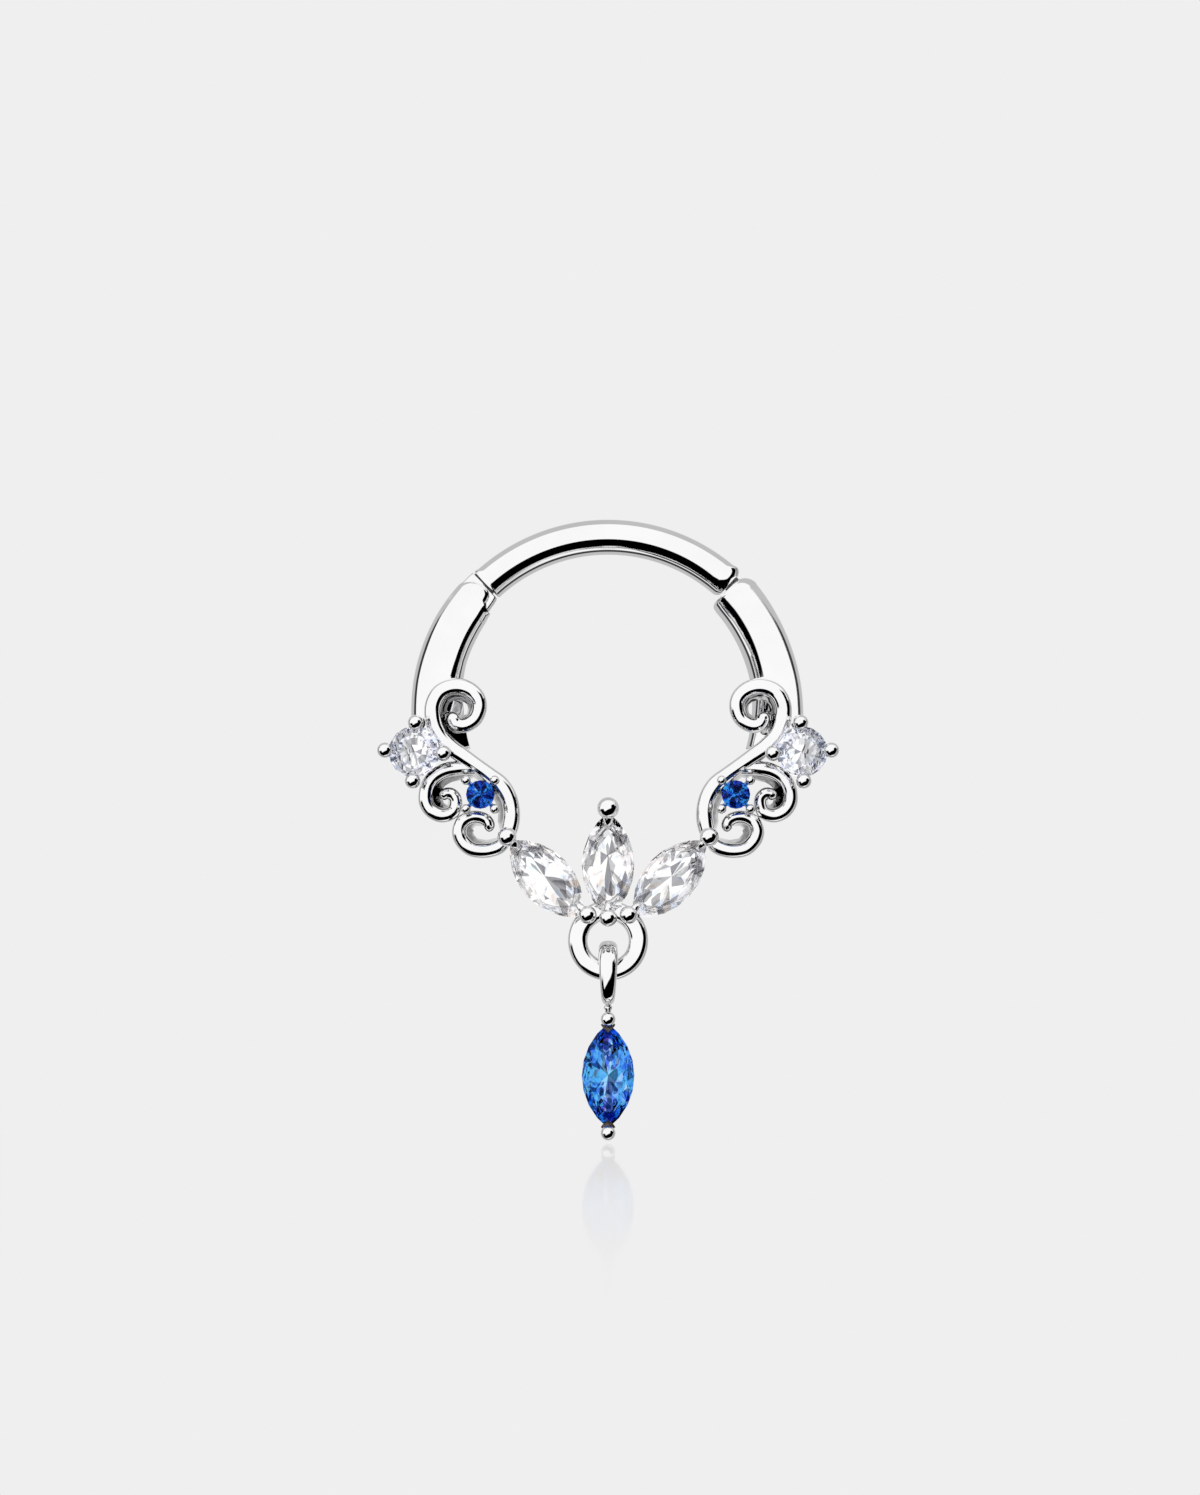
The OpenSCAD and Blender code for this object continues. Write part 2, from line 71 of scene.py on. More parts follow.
class Flow:
    """A socket of a node tree. Arithmetic on it adds Math nodes, and node() adds any other node."""

    def __init__(self, tree, socket=None):
        self.tree = tree
        self.socket = socket

    def node(self, kind, settings=None, **values):
        """Adds a node. A value's name is its socket's, with _ for a space, or _ and the socket's number."""
        made = self.tree.nodes.new(kind)
        for name, value in (settings or {}).items():
            if name == "stops":
                made.color_ramp.interpolation = "CONSTANT"
                for i, (place, colour) in enumerate(value):
                    stop = made.color_ramp.elements[i] if i < 2 else made.color_ramp.elements.new(place)
                    stop.position, stop.color = place, (*colour, 1)
            else:
                setattr(made, name, value)
        for name, value in values.items():
            socket = made.inputs[int(name[1:])] if name[0] == "_" else made.inputs[name.replace("_", " ")]
            if isinstance(value, Flow):
                self.tree.links.new(value.socket, socket)
            else:
                socket.default_value = value
        return Flow(self.tree, made.outputs[0] if made.outputs else None)

    def out(self, name):
        return Flow(self.tree, self.socket.node.outputs[name])

    def math(self, operation, *values):
        return self.node("ShaderNodeMath", {"operation": operation}, **{f"_{i}": v for i, v in enumerate(values)})

    def mix(self, share, first, second, way="MIX"):
        """The first colour with a share of the second mixed into it."""
        return self.node("ShaderNodeMix", {"data_type": "RGBA", "blend_type": way},
                         Factor=share, _6=first, _7=second).out(2)

    def __add__(self, other):
        return self.math("ADD", self, other)

    def __sub__(self, other):
        return self.math("SUBTRACT", self, other)

    def __rsub__(self, other):
        return self.math("SUBTRACT", other, self)

    def __mul__(self, other):
        return self.math("MULTIPLY", self, other)

    def __truediv__(self, other):
        return self.math("DIVIDE", self, other)

    def __neg__(self):
        return self * -1

    __radd__ = __add__
    __rmul__ = __mul__

    def step(self, low, high):
        """0 below low, 1 above high, and a smooth turn between them."""
        return self.node("ShaderNodeMapRange", {"interpolation_type": "SMOOTHSTEP"},
                         Value=self, From_Min=low, From_Max=high)

    def toward(self, other, share):
        """This value, turned into the other by a share."""
        return self + (other - self) * share


def shader_tree(owner):
    """The tree of a material or a world, emptied."""
    owner.use_nodes = True
    owner.node_tree.nodes.clear()
    return Flow(owner.node_tree)


def light_tent():
    tent = bpy.data.worlds.new("light_tent")
    here = shader_tree(tent)
    ray = here.node("ShaderNodeTexCoord").out("Generated")
    way = here.node("ShaderNodeSeparateXYZ", Vector=ray)
    right, up, front = way.out("X"), way.out("Z"), -way.out("Y")
    past_end = front - (-0.12 + up.step(0.3, 0.6) * 0.1)
    light = BACK_LIGHT + (1 - BACK_LIGHT) * past_end.step(-0.05, 0.03)
    slit = past_end.step(-0.26, -0.2) * (1 - past_end.step(-0.05, 0.0)) * (1 - up.step(0.42, 0.6))
    side = (right.step(0.3, 0.7) * (1 - up.step(-0.1, 0.1)) * (1 - front.step(0.35, 0.5))
            * front.step(-0.12, -0.05))
    light = light.toward(SLIT_LIGHT, slit).toward(SIDE_LIGHT, side)
    left = here.math("MAXIMUM", -right, 0.0)
    flag_end = -0.06 + (right * 0.64 - up * 0.77).step(0.5, 0.9) * 0.25
    lean = right * 0.36 - left * 0.35 - up - front * 0.2
    low_flag = lean.step(-0.03, 0.03) * (front - flag_end).step(-0.04, 0.04)
    left_flag = left.step(0.45, 0.6) * (-up).step(0.05, 0.2) * front.step(-0.04, 0.02) * (1 - front.step(0.6, 0.72))
    right_flag = right.step(0.5, 0.56) * up.step(-0.2, -0.1) * (1 - up.step(0.5, 0.62)) * front.step(0.12, 0.2)
    for flag in (low_flag, left_flag, right_flag):
        light = light.toward(0.0, flag)
    light = light.toward(WALL, (-front).step(0.84, 0.95))
    kind = here.node("ShaderNodeLightPath")
    # Through a stone, the tent is bright, in patches with a few dark ones between
    patches = here.node("ShaderNodeTexVoronoi", Vector=ray, Scale=8.0).out("Color")
    bright = here.node("ShaderNodeSeparateColor", Color=patches)
    through = here.mix(0.05, (1.15, 1.15, 1.15, 1), patches)
    through = here.mix(bright.step(0.15, 0.45), (0.35, 0.35, 0.37, 1), through)
    seen = light.toward(WALL, kind.out("Is Camera Ray"))
    seen = here.mix(kind.out("Is Transmission Ray"), seen, through)
    background = here.node("ShaderNodeBackground", Color=seen, Strength=1.0)
    here.node("ShaderNodeOutputWorld", Surface=background)
    scene.world = tent


light_tent()


# Arms. Two curved arms of stainless steel, cast and polished, with flat fronts and drawn-down edges. The left
# one takes the bar's click tongue in a slot, and the right one is the hinge's fork, with the pin across it.
RING_R = 5.95
BAR_W = 1.2
ARM_DEPTH = 1.4
SEAM = math.radians(46.6)
SEAM_GAP = 0.06
BAR_IN = RING_R - BAR_W / 2
BAR_OUT = RING_R + BAR_W / 2
PIN_U = 6.15
PIN_T = -0.56
KNUCKLE_R = 0.53


def at(x, z, front):
    """A place in the ring's plane, in mm from the ring's centre, as a point of the part."""
    return Vector((x, -front, z - RING_R)) * MM


def steel():
    """Mirror-polished stainless steel: near-white, with faint clouds and polishing lines. Where the attribute shade
    marks the inner wall of a scroll, painted shade makes it dark and streaky."""
    made = bpy.data.materials.new("polished_steel")
    here = shader_tree(made)
    place = here.node("ShaderNodeTexCoord").out("Object")
    cloud = here.node("ShaderNodeTexNoise", Vector=place, Scale=900.0, Detail=3.0)
    along = here.node("ShaderNodeMapping", Vector=place, Scale=(9000.0, 40000.0, 9000.0))
    lines = here.node("ShaderNodeTexNoise", Vector=along, Scale=1.0, Detail=2.0)
    tone = here.mix(cloud.step(0.35, 0.65), (0.93, 0.93, 0.935, 1), (0.955, 0.955, 0.96, 1))
    # Painted shade on the scrolls' inner walls: dark, broken into streaks
    shade = here.node("ShaderNodeAttribute", {"attribute_name": "shade"}).out("Fac")
    streak = here.node("ShaderNodeTexNoise", Vector=place, Scale=6000.0, Detail=2.0)
    tone = here.mix(shade * (1 - streak.step(0.35, 0.75) * 0.45), tone, (0.26, 0.26, 0.265, 1))
    bump = here.node("ShaderNodeBump", Strength=0.02, Distance=0.000001, Height=lines)
    surface = here.node("ShaderNodeBsdfPrincipled", Base_Color=tone, Metallic=1.0,
                        Roughness=0.03 + cloud * 0.03, Normal=bump)
    here.node("ShaderNodeOutputMaterial", Surface=surface)
    return made


def dull_steel():
    """Steel painted dark as shade, in soft clouds, and dull: for parts that sit in shade in the seams and over the
    drop stone's tips.
    """
    made = bpy.data.materials.new("dull_steel")
    here = shader_tree(made)
    place = here.node("ShaderNodeTexCoord").out("Object")
    cloud = here.node("ShaderNodeTexNoise", Vector=place, Scale=9000.0, Detail=2.0)
    tone = here.mix(cloud.step(0.35, 0.65), (0.07, 0.065, 0.06, 1), (0.16, 0.145, 0.135, 1))
    surface = here.node("ShaderNodeBsdfPrincipled", Base_Color=tone, Metallic=1.0, Roughness=0.3 + cloud * 0.2)
    here.node("ShaderNodeOutputMaterial", Surface=surface)
    return made


STEEL = steel()
SHADED_STEEL = dull_steel()


def linked(name, data):
    made = bpy.data.objects.new(name, data)
    scene.collection.objects.link(made)
    return made


def piece_of(name, points, faces, flat=()):
    """An object of these points and faces, smooth apart from the faces whose numbers are in flat."""
    mesh = bpy.data.meshes.new(name)
    mesh.from_pydata([tuple(p) for p in points], [], faces)
    mesh.polygons.foreach_set("use_smooth", [i not in flat for i in range(len(faces))])
    mesh.update()
    return linked(name, mesh)


def strip(rings, n, closed=False):
    """The faces between rings of n points. Where closed, the last ring joins the first."""
    return [(k * n + i, k * n + (i + 1) % n, (k + 1) % rings * n + (i + 1) % n, (k + 1) % rings * n + i)
            for k in range(rings if closed else rings - 1) for i in range(n)]


def caps(rings, n):
    """The flat faces on a strip's first and last rings."""
    return [tuple(reversed(range(n))), tuple(range((rings - 1) * n, rings * n))]


def dress(piece, body, slot, material, *nodes):
    """Gives a piece its material, puts it on the body that it rides on, and hides the imported parts that it stands
    for.
    """
    piece.data.materials.clear()
    piece.data.materials.append(material)
    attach(piece, body)
    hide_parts(*nodes)


# Columns: share of the way from an edge's rim to the flat, tilt of the polished surface there in degrees
ROLLED = ((0, 74), (0.25, 56), (0.38, 49), (0.48, 46.5), (0.62, 41.5), (0.85, 25), (0.96, 9), (1, 0))
SHARP = ((0, 86), (0.5, 56), (1, 48.5))
SLOPED = ((0, 25), (0.95, 20), (1, 0))


def read_off(rows, at_value):
    """The value that a table of two columns gives between its rows."""
    for (low, first), (high, last) in zip(rows, rows[1:]):
        if at_value <= high:
            return first + (last - first) * (at_value - low) / (high - low)
    return rows[-1][1]


def edge_profile(tilts, steps=22):
    """Shares of the way from rim to flat, each with its height above the rim for an edge one unit wide."""
    height = 0.0
    rows = [(0.0, 0.0)]
    for step in range(steps):
        low, high = (step / steps) ** 1.6, ((step + 1) / steps) ** 1.6
        height += math.tan(math.radians(read_off(tilts, (low + high) / 2))) * (high - low)
        rows.append((high, height))
    return rows


def plate(name, rim, face, kinds, front, depth):
    """A solid with a flat front and back. Each point of its rim has a point of the flat and a kind of edge."""
    profiles = {kind: edge_profile(kind) for kind in set(kinds)}
    columns = []
    n = len(rim)
    for i, (r, f, kind) in enumerate(zip(rim, face, kinds)):
        rows = profiles[kind]
        r, f = Vector(r), Vector(f)
        along = (Vector(rim[(i + 1) % n]) - Vector(rim[i - 1])).normalized()
        wide = abs(along.cross(f - r))
        fall = min(wide * rows[-1][1], depth / 2 - 0.01)
        heights = [(share, fall * (height / rows[-1][1] - 1)) for share, height in rows]
        columns.append([at(*r.lerp(f, share), front - depth - height) for share, height in reversed(heights)]
                       + [at(*r.lerp(f, share), front + height) for share, height in heights])
    rings = len(columns[0])
    points = [column[k] for k in range(rings) for column in columns]
    faces = strip(rings, n) + caps(rings, n)
    return piece_of(name, points, faces, {len(faces) - 2, len(faces) - 1})


def polar(radius, angle):
    return (radius * math.cos(angle), radius * math.sin(angle))


def arc(centre, radius, start, end, count):
    turns = [polar(radius, start + (end - start) * i / count) for i in range(count + 1)]
    return [(centre[0] + x, centre[1] + y) for x, y in turns]


def seam_points(*spots):
    """Places given in the right seam's own frame: u outward, t from the arm to the bar."""
    return [(u * math.cos(SEAM) - t * math.sin(SEAM), u * math.sin(SEAM) + t * math.cos(SEAM)) for u, t in spots]


def seam_arc(u, t, radius, start, end, count):
    return seam_points(*arc((u, t), radius, math.radians(start), math.radians(end), count))


BAND_STEPS = 70
OUTER_STEPS = 12
INNER_STEPS = 8


def band(rows, end, outer_corner, inner_corner, inset):
    """Outline of an arm drawn on the right, anticlockwise, from a table of its radii and edges by angle. With
    inset 0 it is the rim's outline, and with 1 the flat's. It ends short of the seam, with rounded corners."""
    def radius(column, angle):
        edge = read_off([(row[0], row[column + 2]) for row in rows], math.degrees(angle))
        return read_off([(row[0], row[column]) for row in rows], math.degrees(angle)) + (2 * column - 3) * edge * inset

    foot = math.radians(rows[0][0])
    end_t = -SEAM_GAP / 2 - end
    top_out = radius(1, SEAM) - outer_corner
    top_in = radius(2, SEAM) + inner_corner
    last_out = SEAM - math.asin(abs(end_t - outer_corner) / radius(1, SEAM))
    last_in = SEAM - math.asin(abs(end_t - inner_corner) / radius(2, SEAM))
    outward = [foot + (last_out - foot) * i / BAND_STEPS for i in range(BAND_STEPS)]
    inward = [foot + (last_in - foot) * i / BAND_STEPS for i in range(BAND_STEPS)]
    return ([polar(radius(1, a), a) for a in outward]
            + seam_arc(top_out, end_t - outer_corner, outer_corner, 0, 90, OUTER_STEPS)
            + seam_arc(top_in, end_t - inner_corner, inner_corner, 90, 180, INNER_STEPS)
            + [polar(radius(2, a), a) for a in reversed(inward)])


# The outer edge is sharp and the inner one rolled. At the left arm's foot, where the volute shows it, the inner
# edge is a plain slope.
OUTER_POINTS = BAND_STEPS + OUTER_STEPS + 1
INNER_POINTS = BAND_STEPS + INNER_STEPS + 1
SLOPE_POINTS = 26
BAND_KINDS = [SHARP] * OUTER_POINTS + [ROLLED] * INNER_POINTS
LEFT_KINDS = [SLOPED] * SLOPE_POINTS + [ROLLED] * (INNER_POINTS - SLOPE_POINTS) + [SHARP] * OUTER_POINTS


def turned(points):
    """The same outline on the left."""
    return [(-x, z) for x, z in reversed(points)]


# Columns: angle above the horizontal in degrees, outer radius, inner radius, outer edge's width, inner edge's width
RIGHT_ARM = ((-14, 6.58, 4.75, 0.22, 0.95), (-4, 6.57, 4.79, 0.22, 0.9), (3, 6.56, 4.83, 0.22, 0.75),
             (10, 6.56, 4.88, 0.21, 0.55), (20, 6.57, 4.9, 0.24, 0.58), (30, 6.6, 4.93, 0.25, 0.64),
             (40, 6.65, 4.97, 0.29, 0.66), (50, 6.65, 5.0, 0.29, 0.6))
LEFT_ARM = ((-14, 6.6, 4.75, 0.22, 0.95), (-4, 6.61, 4.79, 0.22, 0.9), (3, 6.62, 4.84, 0.22, 0.75),
            (10, 6.64, 4.95, 0.22, 0.5), (20, 6.66, 5.04, 0.24, 0.4), (30, 6.66, 5.08, 0.2, 0.4),
            (37, 6.65, 5.12, 0.19, 0.38), (41, 6.64, 5.19, 0.18, 0.36), (44, 6.62, 5.28, 0.16, 0.34),
            (47, 6.6, 5.36, 0.16, 0.34), (50, 6.6, 5.38, 0.16, 0.34))
# The same columns, of a shelf set back behind the left arm's rounded end
SHELF = ((36, 6.6, 5.2, 0.04, 0.12), (44, 6.57, 5.3, 0.04, 0.12), (47, 6.56, 5.37, 0.04, 0.12),
         (50, 6.56, 5.37, 0.04, 0.12))
SHELF_STEP = 0.12
right_arm = plate("arm_right", band(RIGHT_ARM, 0.0, KNUCKLE_R, 0.2, 0), band(RIGHT_ARM, 0.09, 0.36, 0.12, 1),
                  BAND_KINDS, ARM_DEPTH / 2, ARM_DEPTH)
left_arm = plate("arm_left", turned(band(LEFT_ARM, 0.03, 0.6, 0.45, 0)),
                 turned(band(LEFT_ARM, 0.14, 0.45, 0.25, 1)), LEFT_KINDS, ARM_DEPTH / 2, ARM_DEPTH)
shelf = plate("shelf_left", turned(band(SHELF, 0.0, 0.03, 0.03, 0)), turned(band(SHELF, 0.03, 0.02, 0.02, 1)),
              BAND_KINDS[::-1], ARM_DEPTH / 2 - SHELF_STEP, ARM_DEPTH - 2 * SHELF_STEP)


def settled(piece):
    """Turns what the piece's modifiers make into its plain mesh."""
    graph = bpy.context.evaluated_depsgraph_get()
    mesh = bpy.data.meshes.new_from_object(piece.evaluated_get(graph), depsgraph=graph)
    piece.modifiers.clear()
    piece.data = mesh
    return piece


def carve(piece, cutters):
    for cutter in cutters:
        cut = piece.modifiers.new("cut", "BOOLEAN")
        cut.operation = "DIFFERENCE"
        cut.solver = "EXACT"
        cut.object = cutter
    settled(piece)
    for cutter in cutters:
        bpy.data.objects.remove(cutter)


def prism(name, outline, low, high):
    """A straight-sided solid between two heights before the ring's middle plane."""
    n = len(outline)
    points = [at(x, z, height) for height in (low, high) for x, z in outline]
    return piece_of(name, points, strip(2, n) + caps(2, n), set(range(n + 2)))


SLOT_HALF = 0.27
SLOT_R = 0.48
PIN_BORE_R = 0.21
CLICK_SLOT_HALF = 0.25
CLICK_U = 5.6
CLICK_L = 0.8
# Well outside the arm, and well past the seam
OUT_U = 7.6
PAST_T = 0.5
hinge_slot = seam_points((PIN_U, PIN_T - SLOT_R), (OUT_U, PIN_T - SLOT_R), (OUT_U, PAST_T),
                         (PIN_U - SLOT_R, PAST_T), (PIN_U - SLOT_R, PIN_T))
hinge_slot += seam_arc(PIN_U, PIN_T, SLOT_R, 180, 270, 12)[1:-1]
carve(right_arm, [prism("hinge_slot", hinge_slot, -SLOT_HALF, SLOT_HALF),
                  prism("pin_bore", seam_arc(PIN_U, PIN_T, PIN_BORE_R, 0, 350, 35), -1, 0.5)])
click_slot = turned(seam_points((CLICK_U - 0.05, -CLICK_L - 0.1), (OUT_U, -CLICK_L - 0.1), (OUT_U, PAST_T),
                                (CLICK_U - 0.05, PAST_T)))
for arm in (left_arm, shelf):
    carve(arm, [prism("click_slot", click_slot, -CLICK_SLOT_HALF, CLICK_SLOT_HALF)])
for arm in (right_arm, left_arm, shelf):
    dress(arm, "frame", "polished_steel", STEEL, "ring_frame")


# Scroll wires. Three flat wires a side, bent into volutes and soldered to the arm and to each other. Their
# fronts are flat and polished, and their edges are bevelled.
ROUND_AT = (-6.44, -1.24)
ROUND_D = 1.7
MARQUISE_L = 3.5
MARQUISE_W = 1.75
CENTRE_AT = (0, -5.0)
SIDE_AT = (-2.05, -5.46)
SIDE_LEAN = math.radians(43)
TIP_OFF = 0.16
WIRE_BACK = 0.6
LONG_FRONT = 1.45

# Columns: share along the flank, share across it towards the middle, share of the wire's width
LONG_SCROLL = (
    (0.00, 0.00, 0.90), (0.06, 0.11, 1.00), (0.13, 0.19, 1.00), (0.22, 0.25, 1.00), (0.33, 0.28, 1.00),
    (0.45, 0.275, 0.90), (0.57, 0.26, 0.90), (0.69, 0.245, 0.95), (0.81, 0.23, 1.00), (0.93, 0.235, 1.00),
    (1.03, 0.27, 1.00), (1.11, 0.33, 1.00), (1.16, 0.40, 1.00), (1.18, 0.49, 1.00), (1.15, 0.575, 1.00),
    (1.085, 0.64, 1.00), (1.00, 0.67, 0.95), (0.92, 0.66, 0.92), (0.86, 0.61, 0.90), (0.83, 0.54, 0.88),
    (0.835, 0.475, 0.88), (0.865, 0.42, 0.88), (0.915, 0.395, 0.86), (0.96, 0.415, 0.84), (0.975, 0.46, 0.8))
OUTER_SCROLL = (
    (0.51, 0.27, 0.60), (0.59, 0.21, 0.85), (0.67, 0.14, 1.00), (0.73, 0.06, 1.00), (0.76, -0.03, 1.00),
    (0.75, -0.12, 1.00), (0.71, -0.19, 1.00), (0.66, -0.235, 1.00), (0.59, -0.25, 1.00), (0.52, -0.23, 1.00),
    (0.475, -0.185, 0.95), (0.46, -0.13, 0.90), (0.48, -0.08, 0.88), (0.52, -0.045, 0.86),
    (0.57, -0.045, 0.84), (0.60, -0.08, 0.82), (0.58, -0.12, 0.80))
LOWER_SCROLL = (
    (0.00, 0.00, 0.80), (0.00, -0.09, 1.00), (0.04, -0.17, 1.00), (0.10, -0.23, 1.00), (0.17, -0.265, 1.00),
    (0.26, -0.26, 1.00), (0.32, -0.22, 1.00), (0.35, -0.15, 0.95), (0.33, -0.08, 0.90), (0.28, -0.03, 0.86),
    (0.22, -0.01, 0.84), (0.175, -0.03, 0.82), (0.18, -0.07, 0.80))

side_axis = Vector((-math.sin(SIDE_LEAN), math.cos(SIDE_LEAN)))
tip_at = Vector(SIDE_AT) + side_axis * (MARQUISE_L / 2 + TIP_OFF)
flank = Vector(ROUND_AT) - tip_at
across = Vector((flank.y, -flank.x))


def on_flank(a, b):
    return tip_at + flank * a + across * b


def shape_tree(name, *inputs):
    """A tree for Geometry Nodes that takes a mesh, the inputs given as (name, kind), and a material."""
    tree = bpy.data.node_groups.new(name, "GeometryNodeTree")
    tree.interface.new_socket("Geometry", in_out="OUTPUT", socket_type="NodeSocketGeometry")
    for label, kind in (("Geometry", "Geometry"), *inputs, ("Material", "Material")):
        tree.interface.new_socket(label, in_out="INPUT", socket_type="NodeSocket" + kind)
    return tree


def follow_path():
    """The tree that bends a straight blank along a path in the ring's plane, with rounded ends."""
    tree = shape_tree("follow_path", ("Path", "Object"), ("Width", "Float"), ("Closed", "Float"))
    here = Flow(tree)
    given = here.node("NodeGroupInput")
    path = here.node("GeometryNodeObjectInfo", Object=given.out("Path")).out("Geometry")
    path = here.node("GeometryNodeCurveSplineType", {"spline_type": "CATMULL_ROM"}, Curve=path)
    path = here.node("GeometryNodeSetSplineResolution", Geometry=path, Resolution=16)
    length = here.node("GeometryNodeCurveLength", Curve=path)

    def blank(name):
        return here.node("GeometryNodeInputNamedAttribute", {"data_type": "FLOAT"}, Name=name)

    def sampled(value, at_length):
        return here.node("GeometryNodeSampleCurve", {"mode": "LENGTH", "data_type": "FLOAT"},
                         Curves=path, Value=value, Length=at_length)

    run, side, inset, rise = blank("run"), blank("side"), blank("inset"), blank("rise")
    radius = here.node("GeometryNodeInputRadius")
    from_start = run * length
    half = sampled(radius, from_start) * given.out("Width") * 0.5
    to_end = here.math("MINIMUM", from_start, length - from_start) + given.out("Closed")
    kept = here.math("MAXIMUM", to_end, inset)
    short = here.math("MAXIMUM", half - kept, 0.0)
    free = here.math("MAXIMUM", half - inset, 0.0)
    wide = here.math("SQRT", here.math("MAXIMUM", free * free - short * short, 0.0))
    pushed = kept - to_end
    first = here.math("LESS_THAN", run, 0.5)
    spot = sampled(radius, from_start + pushed * (first * 2 - 1))
    outward = here.node("ShaderNodeVectorMath", {"operation": "CROSS_PRODUCT"},
                        _0=spot.out("Tangent"), _1=(0.0, 1.0, 0.0))
    sideways = here.node("ShaderNodeVectorMath", {"operation": "SCALE"}, _0=outward, Scale=side * wide)
    forward = here.node("ShaderNodeCombineXYZ", Y=-rise)
    place = here.node("ShaderNodeVectorMath", _0=spot.out("Position"), _1=sideways)
    place = here.node("ShaderNodeVectorMath", _0=place, _1=forward)
    bent = here.node("GeometryNodeSetPosition", Geometry=given.out("Geometry"), Position=place)
    bent = here.node("GeometryNodeMergeByDistance", Geometry=bent, Distance=0.0000005)
    bent = here.node("GeometryNodeRealizeInstances", Geometry=bent)
    bent = here.node("GeometryNodeSetMaterial", Geometry=bent, Material=given.out("Material"))
    here.node("NodeGroupOutput", Geometry=bent)
    return tree


FOLLOW_PATH = follow_path()


def grown(name, blank, tree, **values):
    """The plain object that a tree makes of a blank mesh."""
    made = linked(name, blank)
    modifier = made.modifiers.new("shape", "NODES")
    modifier.node_group = tree
    for item in tree.interface.items_tree:
        if item.in_out == "INPUT" and item.name in values:
            modifier[item.identifier] = values[item.name]
    return settled(made)


# Columns as for the arms' edges. Below them is the wall's foot on the wire's back, as (inset, height, share of painted
# shade).
BEVELLED = ((0, 82), (0.2, 55), (0.28, 48.5), (0.5, 37.5), (1, 6))
WALL_FOOT = ((0.06, 0.0, 0), (0.03, 0.01, 0.1), (0.01, 0.03, 0.5), (0.0, 0.06, 1))
WIRE_EDGE = 0.2
WIRE_RUNS = 220
END_SHARE = 0.012
SHADE_END = 0.012


def wire_blank(front, back, runs, drafts):
    """A straight wire one unit long, as a strip of rings whose points know their place in the section. Drafts, a
    table of (share of the length, lean on one side, lean on the other), is how far its cast walls lean out."""
    profile = edge_profile(BEVELLED, 9)
    foot = front - WIRE_EDGE * profile[-1][1]
    bevel = [(WIRE_EDGE * share, foot + WIRE_EDGE * height, 0) for share, height in profile]
    wall = [(inset, back + height, shade) for inset, height, shade in WALL_FOOT]
    half_section = wall + [(0.0, foot - SHADE_END, 1)] + bevel
    section = [(1, *row) for row in half_section] + [(-1, *row) for row in reversed(half_section)]
    n = len(section)
    end = [END_SHARE * (k / 12) ** 2 for k in range(12)]
    spots = (end + [END_SHARE + (1 - 2 * END_SHARE) * k / runs for k in range(runs + 1)]
             + [1 - share for share in reversed(end)])
    points = []
    columns = {"run": [], "side": [], "inset": [], "rise": [], "shade": []}
    for spot in spots:
        lean = {1: read_off([row[:2] for row in drafts], spot), -1: read_off([row[::2] for row in drafts], spot)}
        for side, inset, rise, walled in section:
            down = max(0.0, foot - rise) / (foot - back)
            # A wall that leans out carries painted shade, which the steel shows as dark
            row = (spot, side, (inset - lean[side] * down) * MM, rise * MM, walled * min(1.0, lean[side] * 20))
            points.append(row[:3])
            for column, value in zip(columns.values(), row):
                column.append(value)
    faces = strip(len(spots), n)
    flat = (len(half_section) - 1, n - 1)
    mesh = bpy.data.meshes.new("wire_blank")
    mesh.from_pydata(points, [], faces)
    mesh.polygons.foreach_set("use_smooth", [f % n not in flat for f in range(len(faces))])
    for label, column in columns.items():
        mesh.attributes.new(label, "FLOAT", "POINT").data.foreach_set("value", column)
    return mesh


def path_object(spots, shares, closed=False):
    """A curve in the ring's plane whose radii are the wire's shares of its width."""
    curve = bpy.data.curves.new("path", "CURVE")
    curve.dimensions = "3D"
    line = curve.splines.new("POLY")
    line.points.add(len(spots) - 1)
    line.use_cyclic_u = closed
    for point, (x, z), share in zip(line.points, spots, shares):
        point.co = (*at(x, z, 0), 1)
        point.radius = share
    return linked("path", curve)


def bent_wire(name, spots, shares, width, front, back, runs, drafts, closed=False):
    path = path_object(spots, shares, closed)
    made = grown(name, wire_blank(front, back, runs, drafts), FOLLOW_PATH,
                 Path=path, Width=width * MM, Closed=1.0 if closed else 0.0, Material=STEEL)
    bpy.data.objects.remove(path)
    return made


# Columns: share of the wire's length, how far its wall leans out at the back on one side and on the other. At
# the wire's ends it doesn't lean, so the ends close.
LONG_DRAFTS = ((0, 0, 0), (0.05, 0, 0.2), (0.2, 0, 0.24), (0.42, 0, 0), (0.46, 0, 0), (0.56, 0.2, 0),
               (0.8, 0.2, 0), (0.95, 0.06, 0), (1, 0, 0))
OUTER_DRAFTS = ((0, 0, 0), (0.04, 0, 0.08), (0.1, 0, 0.16), (0.4, 0, 0.28), (0.65, 0, 0.28), (0.8, 0, 0.1),
                (0.96, 0, 0.06), (1, 0, 0))
LOWER_DRAFTS = ((0, 0, 0), (0.04, 0.06, 0), (0.2, 0.12, 0), (0.4, 0.2, 0), (0.65, 0.26, 0), (0.8, 0.12, 0),
                (0.96, 0.06, 0), (1, 0, 0))
